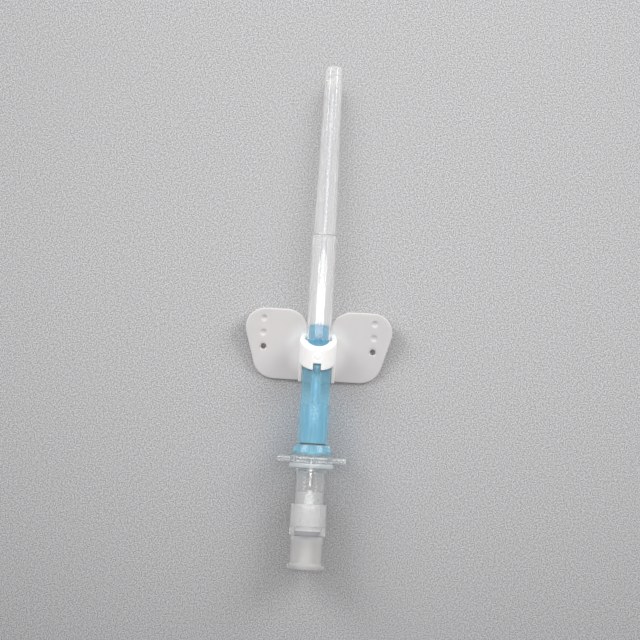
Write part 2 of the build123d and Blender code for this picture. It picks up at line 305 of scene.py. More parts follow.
@dataclass
class Field:
    """A number that varies over space, made of math nodes.

    Attributes:
        shop: The tree's nodes.
        socket: The output that carries the number.
    """

    shop: NodeShop
    socket: bpy.types.NodeSocket

    def math(self, operation: str, *others: Field | float) -> Field:
        """Returns the result of a math node on this field and the others."""
        node = self.shop.add("ShaderNodeMath", dict(enumerate((self, *others))), operation=operation)
        return Field(self.shop, node.outputs["Value"])

    def __add__(self, other: Field | float) -> Field:
        """Returns the sum."""
        return self.math("ADD", other)

    def __sub__(self, other: Field | float) -> Field:
        """Returns the difference."""
        return self.math("SUBTRACT", other)

    def __mul__(self, other: Field | float) -> Field:
        """Returns the product."""
        return self.math("MULTIPLY", other)

    def __neg__(self) -> Field:
        """Returns the field with its sign turned."""
        return self.math("MULTIPLY", -1.0)

    def size(self) -> Field:
        """Returns the field without its sign."""
        return self.math("ABSOLUTE")

    def hypot(self, other: Field) -> Field:
        """Returns the root of the sum of both squares."""
        return (self * self + other * other).math("SQRT")

    def both(self, other: Field, rounding: float = 0.0) -> Field:
        """Returns the distance to what lies in both shapes, with its edge rounded."""
        return self.math("SMOOTH_MAX", other, rounding) if rounding else self.math("MAXIMUM", other)

    def either(self, other: Field, rounding: float = 0.0) -> Field:
        """Returns the distance to what lies in either shape, with its corner filled."""
        return self.math("SMOOTH_MIN", other, rounding) if rounding else self.math("MINIMUM", other)

    def without(self, other: Field, rounding: float = 0.0) -> Field:
        """Returns the distance to this shape with the other cut out."""
        return self.both(-other, rounding)


def build_moulded_skin() -> bpy.types.NodeTree:
    """Builds the shader group of a moulded or drawn skin.

    Returns:
        A group that turns two colours and a few scales into a mottled colour, a roughness and a height.
    """
    group = bpy.data.node_groups.new("moulded_skin", "ShaderNodeTree")
    shop = NodeShop(group)
    scales = ("Mottle Scale", "Roughness", "Roughness Spread", "Grain Scale", "Across Stretch")
    shop.declare({"Light Color": "Color", "Dark Color": "Color", **dict.fromkeys(scales, "Float")},
                 {"Color": "Color", "Roughness": "Float", "Height": "Float"})
    given = shop.add("NodeGroupInput").outputs
    place = shop.add("ShaderNodeTexCoord").outputs["Object"]
    clouds = shop.add("ShaderNodeTexNoise", {"Vector": place, "Scale": given["Mottle Scale"], "Detail": 3.0})
    spread = shop.add("ShaderNodeMapRange",
                      {"Value": clouds.outputs["Fac"], "From Min": 0.35, "From Max": 0.65}).outputs["Result"]
    color = shop.add("ShaderNodeMix", {"Factor": spread, "A": given["Light Color"], "B": given["Dark Color"]},
                     data_type="RGBA")
    gloss = shop.add("ShaderNodeMath", {0: spread, 1: given["Roughness Spread"], 2: given["Roughness"]},
                     operation="MULTIPLY_ADD")
    stretch = given["Across Stretch"]
    across = shop.add("ShaderNodeCombineXYZ", {"X": stretch, "Y": 1.0, "Z": stretch})
    scaled = shop.add("ShaderNodeVectorMath", {0: place, 1: across.outputs["Vector"]}, operation="MULTIPLY")
    coarser = shop.add("ShaderNodeMath", {0: given["Grain Scale"], 1: stretch}, operation="DIVIDE")
    grain = shop.add("ShaderNodeTexNoise", {"Vector": scaled.outputs["Vector"],
                                            "Scale": coarser.outputs["Value"], "Detail": 2.0})
    shop.add("NodeGroupOutput", {"Color": color.outputs["Result"], "Roughness": gloss.outputs["Value"],
                                 "Height": grain.outputs["Fac"]})
    return group


@dataclass
class Layout:
    """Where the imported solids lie, read from the frame.

    Attributes:
        nose_front: Station of the catheter hub's front end.
        shoulder: Place of station zero along Y, in metres.
        axis_height: Height of the needle's axis, in metres.
    """

    nose_front: float = 7.7
    shoulder: float = field(init=False)
    axis_height: float = field(init=False)

    def __post_init__(self) -> None:
        """Reads the axis from the round stop disc and the shoulder from the catheter hub."""
        low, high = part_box("needle_hub")
        self.axis_height = (low.z + high.z) / 2
        self.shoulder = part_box("catheter_hub")[1].y - self.nose_front * MM

    def place(self, across: float, station: float, height: float) -> Vector:
        """Returns the point at these millimetres across, along and above the axis, in metres."""
        return Vector((across * MM, self.shoulder + station * MM, self.axis_height + height * MM))

    def matrix(self) -> Matrix:
        """Returns the map from (across, station, height) in millimetres to metres."""
        return Matrix.Translation((0, self.shoulder, self.axis_height)) @ Matrix.Scale(MM, 4)


@dataclass
class Workshop:
    """Makes the materials, all from one shared skin group.

    Attributes:
        layout: Where the stations are.
        skin: The shared group.
        scatter_reach: How far each colour scatters under the skin, as shares of the finish's reach.
    """

    layout: Layout
    skin: bpy.types.NodeTree = field(default_factory=build_moulded_skin)
    scatter_reach: Color = (1.0, 0.9, 0.85)

    def material(self, finish: Finish) -> bpy.types.Material:
        """Builds the material of a finish.

        Args:
            finish: The look to build.

        Returns:
            The finished material.
        """
        made = bpy.data.materials.new(finish.name)
        shop = open_shop(made)
        skin = shop.add("ShaderNodeGroup", {
            "Light Color": (*finish.light, 1.0), "Dark Color": (*finish.dark, 1.0),
            "Mottle Scale": finish.mottle_scale, "Roughness": finish.roughness,
            "Roughness Spread": finish.roughness_spread, "Grain Scale": finish.grain_scale,
            "Across Stretch": finish.stretch,
        }, node_tree=self.skin).outputs
        bump = shop.add("ShaderNodeBump", {"Distance": finish.relief * MM, "Height": skin["Height"]})
        color = self.tint_thick_wall_and_paint_light(shop, skin["Color"], finish) if finish.thick_tone_and_painted_light else skin["Color"]
        shader = shop.add("ShaderNodeBsdfPrincipled", {
            "Base Color": color, "Roughness": skin["Roughness"], "Normal": bump.outputs["Normal"],
            "Metallic": 1.0 if finish.substance is Substance.METAL else 0.0, "IOR": finish.ior,
            "Transmission Weight": finish.transmission,
        })
        if finish.subsurface:
            shader.inputs["Subsurface Weight"].default_value = finish.subsurface
            shader.inputs["Subsurface Radius"].default_value = self.scatter_reach
            shader.inputs["Subsurface Scale"].default_value = finish.scatter * MM
        surface = shader.outputs["BSDF"]
        if finish.substance is Substance.CLEAR:
            surface = self.let_lamps_through(shop, surface, finish.lamp_tint)
        shop.add("ShaderNodeOutputMaterial", {"Surface": surface})
        return made

    def tint_thick_wall_and_paint_light(
        self, shop: NodeShop, thin: bpy.types.NodeSocket, finish: Finish
    ) -> bpy.types.NodeSocket:
        """Mixes in the colour that the finish has where its wall is thick: partly the thicker wall's own
        tone, partly painted light and shade.

        Args:
            shop: The material's nodes.
            thin: Colour of the thin walls.
            finish: The finish, which says where its walls are thick.

        Returns:
            The mixed colour.
        """
        middle = self.layout.place(0, finish.thick_station, 0)
        place = shop.add("ShaderNodeTexCoord")
        flat = shop.add("ShaderNodeVectorMath", {0: place.outputs["Object"], 1: (1.0, 1.0, 0.0)},
                        operation="MULTIPLY")
        away = shop.add("ShaderNodeVectorMath", {0: flat.outputs["Vector"], 1: (middle.x, middle.y, 0.0)},
                        operation="DISTANCE")
        fade = shop.add("ShaderNodeMapRange", {
            "Value": away.outputs["Value"], "From Min": finish.thick_radius * MM,
            "From Max": finish.thin_radius * MM,
        }, interpolation_type="SMOOTHSTEP")
        blend = shop.add("ShaderNodeMix", {
            "Factor": fade.outputs["Result"], "A": (*finish.thick_tone_and_painted_light, 1.0), "B": thin,
        }, data_type="RGBA")
        return blend.outputs["Result"]

    def let_lamps_through(
        self, shop: NodeShop, surface: bpy.types.NodeSocket, tint: Color
    ) -> bpy.types.NodeSocket:
        """Mixes in a tinted transparent shader for shadow rays and for light bounced off dull things.

        Args:
            shop: The material's nodes.
            surface: The shader that everything else sees.
            tint: Colour of the light that gets through one surface.

        Returns:
            The mixed shader.
        """
        path = shop.add("ShaderNodeLightPath")
        window = shop.add("ShaderNodeBsdfTransparent", {"Color": (*tint, 1.0)})
        for ray in ("Is Diffuse Ray", "Is Shadow Ray"):
            mix = shop.add("ShaderNodeMixShader",
                           {"Fac": path.outputs[ray], 1: surface, 2: window.outputs["BSDF"]})
            surface = mix.outputs["Shader"]
        return surface


def show(name: str, mesh: bpy.types.Mesh) -> bpy.types.Object:
    """Puts a mesh in the scene as an object at the origin.

    Args:
        name: The object's name.
        mesh: Its mesh.

    Returns:
        The new object.
    """
    piece = bpy.data.objects.new(name, mesh)
    bpy.context.scene.collection.objects.link(piece)
    return piece


def bake(piece: bpy.types.Object) -> bpy.types.Mesh:
    """Returns the object's evaluated mesh as a mesh of its own."""
    graph = bpy.context.evaluated_depsgraph_get()
    return bpy.data.meshes.new_from_object(piece.evaluated_get(graph))


def grow(mesh: bpy.types.Mesh, tree: bpy.types.NodeTree, values: dict[str, object]) -> bpy.types.Mesh:
    """Runs a Geometry Nodes tree on a mesh.

    Args:
        mesh: The mesh that goes in.
        tree: The tree.
        values: The tree's other inputs, by their names.

    Returns:
        The mesh that comes out.
    """
    work = show(mesh.name, mesh)
    modifier = work.modifiers.new(tree.name, "NODES")
    modifier.node_group = tree
    sockets = {item.name: item.identifier for item in tree.interface.items_tree
               if item.item_type == "SOCKET" and item.in_out == "INPUT"}
    for name, value in values.items():
        modifier[sockets[name]] = value
    grown = bake(work)
    work.modifiers.remove(modifier)
    bpy.data.objects.remove(work)
    return grown


def signed_volume(mesh: bpy.types.Mesh) -> float:
    """Measures a mesh.

    Args:
        mesh: A closed mesh.

    Returns:
        Its volume, which is negative if its faces point inwards.
    """
    work = bmesh.new()
    work.from_mesh(mesh)
    volume = work.calc_volume(signed=True)
    work.free()
    return volume


def finish_mesh(mesh: bpy.types.Mesh, crease: float) -> bpy.types.Mesh:
    """Turns the faces outwards and smooths all but the sharp edges.

    Args:
        mesh: The closed mesh to finish.
        crease: Angle in degrees past which an edge stays sharp.

    Returns:
        The same mesh.
    """
    if signed_volume(mesh) < 0:
        mesh.flip_normals()
    mesh.shade_smooth()
    mesh.set_sharp_from_angle(angle=math.radians(crease))
    return mesh


def rounded_outline(corners: list[Corner], steps: int) -> Section:
    """Rounds the corners of a closed outline.

    Args:
        corners: Points as (station, radius, rounding).
        steps: Number of chords in each rounding.

    Returns:
        The outline's points as (station, radius).
    """
    points: Section = []
    for index, (station, radius, rounding) in enumerate(corners):
        if rounding <= 0:
            points.append((station, radius))
            continue
        here = Vector((station, radius))
        before = Vector(corners[index - 1][:2]) - here
        after = Vector(corners[(index + 1) % len(corners)][:2]) - here
        reach = min(rounding / math.tan(before.angle(after) / 2),
                    SIDE_SHARE * before.length, SIDE_SHARE * after.length)
        start = here + before.normalized() * reach
        end = here + after.normalized() * reach
        for step in range(steps + 1):
            share = step / steps
            spot = start.lerp(here, share).lerp(here.lerp(end, share), share)
            points.append((spot.x, spot.y))
    return points


def build_lathe() -> bpy.types.NodeTree:
    """Builds the Geometry Nodes tree that turns an outline round the needle's axis.

    Returns:
        A tree with the inputs Outline, Segments, Ring Radius, Merge Distance and Finish.
    """
    tree = bpy.data.node_groups.new("lathe", "GeometryNodeTree")
    shop = NodeShop(tree)
    shop.declare({"Outline": "Geometry", "Segments": "Int", "Ring Radius": "Float",
                  "Merge Distance": "Float", "Finish": "Material"}, {"Turned": "Geometry"})
    given = shop.add("NodeGroupInput").outputs
    ring = shop.add("GeometryNodeCurvePrimitiveCircle",
                    {"Resolution": given["Segments"], "Radius": given["Ring Radius"]}, mode="RADIUS")
    level = shop.add("GeometryNodeSetCurveNormal", {"Curve": ring.outputs["Curve"]}, mode="Z_UP")
    outline = shop.add("GeometryNodeMeshToCurve", {"Mesh": given["Outline"]})
    swept = shop.add("GeometryNodeCurveToMesh", {"Curve": level.outputs["Curve"],
                                                 "Profile Curve": outline.outputs["Curve"]})
    merged = shop.add("GeometryNodeMergeByDistance", {"Geometry": swept.outputs["Mesh"],
                                                      "Distance": given["Merge Distance"]})
    shop.end_shape(merged.outputs["Geometry"], given["Finish"], "Turned")
    return tree


@dataclass
class Lathe:
    """Turns closed outlines into smooth solids of revolution.

    Attributes:
        segments: Number of flats round the axis.
        ring_radius: Radius of the guide ring, in millimetres.
        merge_distance: Points nearer than this at a pole become one, in millimetres.
        rounding_steps: Number of chords in each rounding.
        tree: The tree that does the work, built once.
    """

    segments: int = 112
    ring_radius: float = 10.0
    merge_distance: float = 0.0005
    rounding_steps: int = 4
    tree: bpy.types.NodeTree = field(default_factory=build_lathe)

    def turn(self, corners: list[Corner], material: bpy.types.Material) -> bpy.types.Mesh:
        """Turns an outline round the axis.

        Args:
            corners: The outline as (station, radius, rounding), in order round the section.
            material: The material that the tree sets.

        Returns:
            The closed mesh, in (across, station, height) millimetres.
        """
        points = rounded_outline(corners, self.rounding_steps)
        count = len(points)
        mesh = bpy.data.meshes.new("outline")
        mesh.from_pydata(
            [(radius - self.ring_radius, -station, 0.0) for station, radius in points],
            [(index, (index + 1) % count) for index in range(count)], [],
        )
        turned = grow(mesh, self.tree, {
            "Segments": self.segments, "Ring Radius": self.ring_radius,
            "Merge Distance": self.merge_distance, "Finish": material,
        })
        turned.transform(Matrix(((1, 0, 0, 0), (0, 0, 1, 0), (0, -1, 0, 0), (0, 0, 0, 1))))
        if signed_volume(turned) < 0:
            turned.flip_normals()
        return turned


def draw_out(corners: list[Corner], way: Corner, bevel: float, ends_only: bool = False) -> bpy.types.Mesh:
    """Makes a bar from a flat outline.

    Args:
        corners: The outline, in (across, station, height) millimetres.
        way: Which way and how far it is drawn out.
        bevel: Width of the rounding on its edges.
        ends_only: Rounds only the edges round its two ends.

    Returns:
        The closed mesh, in the same millimetres.
    """
    work = bmesh.new()
    work.faces.new([work.verts.new(corner) for corner in corners])
    moved = bmesh.ops.extrude_face_region(work, geom=list(work.faces))
    far = [item for item in moved["geom"] if isinstance(item, bmesh.types.BMVert)]
    bmesh.ops.translate(work, verts=far, vec=way)
    if bevel > 0:
        edges = [edge for edge in work.edges
                 if not ends_only or (edge.verts[0] in far) == (edge.verts[1] in far)]
        bmesh.ops.bevel(work, geom=edges, offset=bevel, segments=BEVEL_STEPS, profile=0.5, affect="EDGES")
    bmesh.ops.recalc_face_normals(work, faces=list(work.faces))
    mesh = bpy.data.meshes.new("bar")
    work.to_mesh(mesh)
    work.free()
    return mesh


def prism(outline: Section, rear: float, front: float, bevel: float) -> bpy.types.Mesh:
    """Returns a bar between two stations, from its cross-section as (across, height)."""
    return draw_out([(across, rear, height) for across, height in outline], (0, front - rear, 0), bevel)


def combine(base: bpy.types.Mesh, tool: bpy.types.Mesh, operation: str) -> bpy.types.Mesh:
    """Joins a tool to a mesh, or cuts it out.

    Args:
        base: The mesh to change.
        tool: The other closed mesh.
        operation: UNION or DIFFERENCE.

    Returns:
        The new mesh.
    """
    body = show("base", base)
    cutter = show("tool", tool)
    modifier = body.modifiers.new("cut", "BOOLEAN")
    modifier.solver = "EXACT"
    modifier.operation = operation
    modifier.object = cutter
    result = bake(body)
    bpy.data.objects.remove(body)
    bpy.data.objects.remove(cutter)
    return result


def circle(centre: Vector, radius: float, count: int) -> list[Vector]:
    """Returns points on a circle, counter-clockwise."""
    return [centre + radius * Vector((math.cos(math.tau * k / count), math.sin(math.tau * k / count)))
            for k in range(count)]


def fade(share: float) -> float:
    """Returns a number that falls softly from 1 to 0 as the share rises from 0 to 1."""
    share = min(1.0, max(0.0, share))
    return 1 - share * share * (3 - 2 * share)


def quarter(radius: float, steps: int) -> Section:
    """Returns a quarter round under a skin as (inset, depth), without its first point."""
    return [(radius * (1 - math.sin(turn)), radius * (1 - math.cos(turn)))
            for turn in (math.pi / 2 * step / steps for step in range(1, steps + 1))]


def strip(rings: list[list[int]]) -> list[tuple[int, ...]]:
    """Returns the quads between rings of vertices, which run from the top down."""
    return [(upper[k], lower[k], lower[(k + 1) % len(upper)], upper[(k + 1) % len(upper)])
            for upper, lower in zip(rings, rings[1:]) for k in range(len(upper))]


@dataclass
class WingPlate:
    """One wing of the moulding, with its root flange: a pitched thin plate that curls up outboard.

    Attributes:
        layout: Where the axis lies.
        side: 1 for the right wing and -1 for the left.
        pitch: Angle between the plate and the needle's axis, in degrees.
        rear_station: Station of the rear edge.
        rear_drop: Depth of the top skin under the axis at the rear edge.
        thickness: Thickness of the plate.
        chord: Length of the plate along the axis.
        half_span: Distance from the axis to the wing's widest point.
        lean: How far the outer side leans outwards to the front, in degrees.
        root: Distance from the axis to the plate's inner side.
        radii: Radii of the outline's corners: rear inner, rear outer, front outer, front inner.
        flat_half_width: Distance from the axis at which the plate starts to curl.
        curl_radius: Radius of the curl.
        edge: Rounding of the free edges, in edge_steps chords.
        hinge: Distance from the axis to the living hinge.
        hinge_web: Thickness of the web at the hinge.
        hinge_reach: Half the width of the stretch that bends.
        relief: Half the width of the groove under the hinge.
        relief_rows: Where rows of points cross the groove, as shares of that half width.
        hole_inset: Distance of the suture hole from the widest point.
        hole_radius: Radius of the hole.
        hole_mouth: Rounding of the hole's upper edge, in mouth_steps chords.
        hole_lip: Rounding of its lower edge, in lip_steps chords.
        dimple_inset: Distance of the dimples from the widest point.
        dimple_front_inset: Distance of the first dimple from the front edge.
        dimple_pitch: Distance between the dimples, and from the last one to the hole.
        dimple_count: Number of dimples.
        dimple_radius: Radius of a dimple.
        dimple_floor: Radius of its flat floor.
        dimple_depth: Its depth.
        dimple_rings: Radii of the rings of points at a dimple.
        ring_density: Number of points in a ring of one millimetre's radius.
        ring_least: Least number of points in a ring.
        grid: Distance between the skin's points.
        crowd_gap: Least distance of the grid from a ring, as a share of the grid.
        border_gap: Least distance of the grid from the border and the groove, as a share of the grid.
        side_points: Number of chords along each side.
        arc_points: Number of chords in each rounded corner.
        hole_points: Number of chords round the hole.
        hole_clear: Share of the hole's radius within which no triangle has its middle.
        crease: Angle in degrees past which an edge stays sharp.
    """

    layout: Layout
    side: int
    pitch: float = 10.2
    rear_station: float = -3.85
    rear_drop: float = 3.56
    thickness: float = 0.50
    chord: float = 14.7
    half_span: float = 15.12
    lean: float = 15.9
    root: float = 2.20
    radii: tuple[float, float, float, float] = (0.20, 4.5, 4.0, 4.6)
    flat_half_width: float = 9.0
    curl_radius: float = 36.0
    edge: float = 0.19
    edge_steps: int = 5
    hinge: float = 4.3
    hinge_web: float = 0.28
    hinge_reach: float = 0.30
    relief: float = 0.42
    relief_rows: tuple[float, ...] = (-1.0, -0.5, 0.0, 0.5, 1.0)
    hole_inset: float = 3.82
    hole_radius: float = 0.56
    hole_mouth: float = 0.24
    mouth_steps: int = 4
    hole_lip: float = 0.12
    lip_steps: int = 3
    dimple_inset: float = 3.70
    dimple_front_inset: float = 2.11
    dimple_pitch: float = 2.97
    dimple_count: int = 2
    dimple_radius: float = 0.80
    dimple_floor: float = 0.24
    dimple_depth: float = 0.18
    dimple_rings: tuple[float, ...] = (0.12, 0.24, 0.34, 0.44, 0.54, 0.64, 0.74, 0.84)
    ring_density: float = 44.0
    ring_least: int = 10
    grid: float = 0.42
    crowd_gap: float = 0.7
    border_gap: float = 0.4
    side_points: int = 26
    arc_points: int = 22
    hole_points: int = 40
    hole_clear: float = 0.9
    crease: float = 60.0

    def corner_points(self) -> list[Vector]:
        """Finds the corners of the sharp outline.

        Returns:
            The corners as (across, along), counter-clockwise.
        """
        lean = math.radians(self.lean)
        front = self.half_span + self.radii[2] * (math.tan(lean) + 1 / math.cos(lean) - 1)
        rear = front - self.chord * math.tan(lean)
        return [Vector((self.root, 0)), Vector((rear, 0)), Vector((front, self.chord)),
                Vector((self.root, self.chord))]

    def outline(self, inset: float) -> list[Vector]:
        """Rounds the outline and moves it inwards.

        Args:
            inset: How far it moves.

        Returns:
            The outline as (across, along), always with as many points.
        """
        corners = self.corner_points()
        arcs: list[list[Vector]] = []
        for index, corner in enumerate(corners):
            back = (corners[index - 1] - corner).normalized()
            ahead = (corners[(index + 1) % 4] - corner).normalized()
            half = back.angle(ahead) / 2
            centre = corner + (back + ahead).normalized() * (self.radii[index] / math.sin(half))
            radius = self.radii[index] - inset
            first = math.atan2(back.x, -back.y)
            step = (math.pi - 2 * half) / self.arc_points
            arcs.append([centre + radius * Vector((math.cos(first + step * k), math.sin(first + step * k)))
                         for k in range(self.arc_points + 1)])
        points: list[Vector] = []
        for index, arc in enumerate(arcs):
            following = arcs[(index + 1) % 4][0]
            points += arc
            points += [arc[-1].lerp(following, step / self.side_points)
                       for step in range(1, self.side_points)]
        return points

    def dimples(self) -> list[Vector]:
        """Finds the grip dimples.

        Returns:
            Their middles as (across, along).
        """
        front = self.chord - self.dimple_front_inset
        return [Vector((self.half_span - self.dimple_inset, front - k * self.dimple_pitch))
                for k in range(self.dimple_count)]

    def hole(self) -> Vector:
        """Returns the middle of the suture hole."""
        along = self.chord - self.dimple_front_inset - self.dimple_count * self.dimple_pitch
        return Vector((self.half_span - self.hole_inset, along))

    def lift(self, spot: Vector, depth: float) -> float:
        """Finds how high the curl lifts a point of the plate.

        Args:
            spot: The point as (across, along).
            depth: Its depth under the top skin.

        Returns:
            Its height over the flat root's top skin.
        """
        reach = max(0.0, spot.x - self.flat_half_width)
        top = self.curl_radius - math.sqrt(self.curl_radius**2 - reach**2)
        under = self.curl_radius - math.sqrt((self.curl_radius + self.thickness) ** 2 - reach**2)
        return top + (under - top) * depth / self.thickness

    def sunk(self, spot: Vector) -> float:
        """Finds how deep the dimples sink the top skin.

        Args:
            spot: The point as (across, along).

        Returns:
            The depth at that point.
        """
        slope = self.dimple_radius - self.dimple_floor
        return sum(self.dimple_depth * fade(((spot - centre).length - self.dimple_floor) / slope)
                   for centre in self.dimples())

    def hollow(self, spot: Vector) -> float:
        """Returns how much the groove under the hinge raises the underside at a point."""
        return (self.thickness - self.hinge_web) * fade(abs(spot.x - self.hinge) / self.relief)

    def inside(self, spot: Vector, border: list[Vector]) -> bool:
        """Tells whether a point lies well inside the border.

        Args:
            spot: The point.
            border: The convex border, counter-clockwise.

        Returns:
            True if no side of the border is nearer than the grid allows.
        """
        for here, following in zip(border, border[1:] + border[:1]):
            along, away = following - here, spot - here
            if along.length > MERGED and along.cross(away) / along.length < self.border_gap * self.grid:
                return False
        return True

    def grid_points(self, crowded: list[tuple[Vector, float]]) -> list[Vector]:
        """Spreads the points of the skin.

        Args:
            crowded: Middles and radii of the places that have rings of points.

        Returns:
            The rows that cross the hinge's groove, and the grid between them and the crowded places.
        """
        rows = int(self.chord / self.grid)
        points = [Vector((self.hinge + share * self.relief, row * self.grid))
                  for share in self.relief_rows for row in range(1, rows)]
        for row in range(1, rows + 1):
            for column in range(1, int(self.half_span / self.grid) + 1):
                spot = Vector(((column + 0.5 * (row % 2)) * self.grid, row * self.grid))
                near = any((spot - centre).length < radius + self.crowd_gap * self.grid
                           for centre, radius in crowded)
                if not near and abs(spot.x - self.hinge) > self.relief + self.border_gap * self.grid:
                    points.append(spot)
        return points

    def fill(
        self, border: list[Vector], mouth: list[Vector], fine: bool
    ) -> tuple[list[Vector], list[list[int]]]:
        """Fills the plate's face between its border and the hole with triangles.

        Args:
            border: The outer loop.
            mouth: The hole's loop.
            fine: Adds rings of points at the dimples.

        Returns:
            The points, with the border and the mouth first, and the triangles.
        """
        hole, opening = self.hole(), (mouth[0] - self.hole()).length
        crowded = [(hole, opening)]
        inner: list[Vector] = []
        for centre in self.dimples() if fine else ():
            crowded.append((centre, self.dimple_radius))
            inner.append(centre)
            for radius in self.dimple_rings:
                inner += circle(centre, radius, max(self.ring_least, int(self.ring_density * radius)))
        inner += self.grid_points(crowded)
        kept = border + mouth + [spot for spot in inner if self.inside(spot, border)]
        edges = [(start + k, start + (k + 1) % len(loop))
                 for start, loop in ((0, border), (len(border), mouth)) for k in range(len(loop))]
        made, _, faces, origin, _, _ = delaunay_2d_cdt(kept, edges, [], 1, MERGED)
        if len(made) != len(kept):
            raise ValueError("the plate's points fall together")
        triangles = [[origin[index][0] for index in face] for face in faces]
        middles = [sum((kept[k] for k in face), Vector((0, 0))) / 3 for face in triangles]
        return kept, [face for face, middle in zip(triangles, middles)
                      if (middle - hole).length > opening * self.hole_clear]

    def mesh(self, material: bpy.types.Material) -> bpy.types.Mesh:
        """Builds the closed plate.

        Args:
            material: The plate's material.

        Returns:
            The mesh, in metres, in its place.
        """
        vertices: list[Vector] = []
        tilt = Matrix.Rotation(math.radians(self.pitch), 4, "X")
        origin = Vector((0, self.rear_station, -self.rear_drop))

        def put(spots: list[Vector], height: Callable[[Vector], float]) -> list[int]:
            """Adds vertices.

            Args:
                spots: Their places as (across, along).
                height: Gives the height over a place.

            Returns:
                Their numbers.
            """
            for spot in spots:
                at = origin + tilt @ Vector((spot.x, spot.y, height(spot)))
                vertices.append(self.layout.place(self.side * at.x, at.y, at.z))
            return list(range(len(vertices) - len(spots), len(vertices)))

        border = self.outline(self.edge)
        mouth = circle(self.hole(), self.hole_radius + self.hole_mouth, self.hole_points)
        lip = circle(self.hole(), self.hole_radius + self.hole_lip, self.hole_points)
        spots, top_faces = self.fill(border, mouth, fine=True)
        top = put(spots, lambda spot: self.lift(spot, 0) - self.sunk(spot))
        spots, under_faces = self.fill(border, lip, fine=False)
        under = put(spots, lambda spot: self.lift(spot, self.thickness) + self.hollow(spot))
        faces = [tuple(top[k] for k in face) for face in top_faces]
        faces += [tuple(under[k] for k in reversed(face)) for face in under_faces]

        rim, wall = [top[:len(border)]], [top[len(border):len(border) + self.hole_points]]
        section = quarter(self.edge, self.edge_steps)
        levels = section + [(inset, self.thickness - depth) for inset, depth in reversed(section)]
        for inset, depth in levels[:-1]:
            share = depth / self.thickness
            rim.append(put(self.outline(inset),
                           lambda spot: self.lift(spot, depth) + share * self.hollow(spot)))
        levels = quarter(self.hole_mouth, self.mouth_steps)
        levels += [(inset, self.thickness - depth)
                   for inset, depth in reversed(quarter(self.hole_lip, self.lip_steps))]
        for inset, depth in levels:
            loop = circle(self.hole(), self.hole_radius + inset, self.hole_points)
            wall.append(put(loop, lambda spot: self.lift(spot, depth)))
        rim.append(under[:len(border)])
        wall.append(under[len(border):len(border) + self.hole_points])
        faces += strip(rim) + strip([loop[::-1] for loop in wall])

        mesh = bpy.data.meshes.new("wing")
        mesh.from_pydata(vertices, [], faces)
        mesh.materials.append(material)
        mesh.validate()
        return finish_mesh(mesh, self.crease)


@dataclass
class Spot:
    """Where a point of the collar lies, and the sizes that the collar's tree is given.

    Attributes:
        across: Distance to the right of the axis.
        station: Station along the axis.
        height: Height over the axis.
        radius: Distance from the axis.
        sizes: The tree's sizes by name.
    """

    across: Field
    station: Field
    height: Field
    radius: Field
    sizes: dict[str, Field]


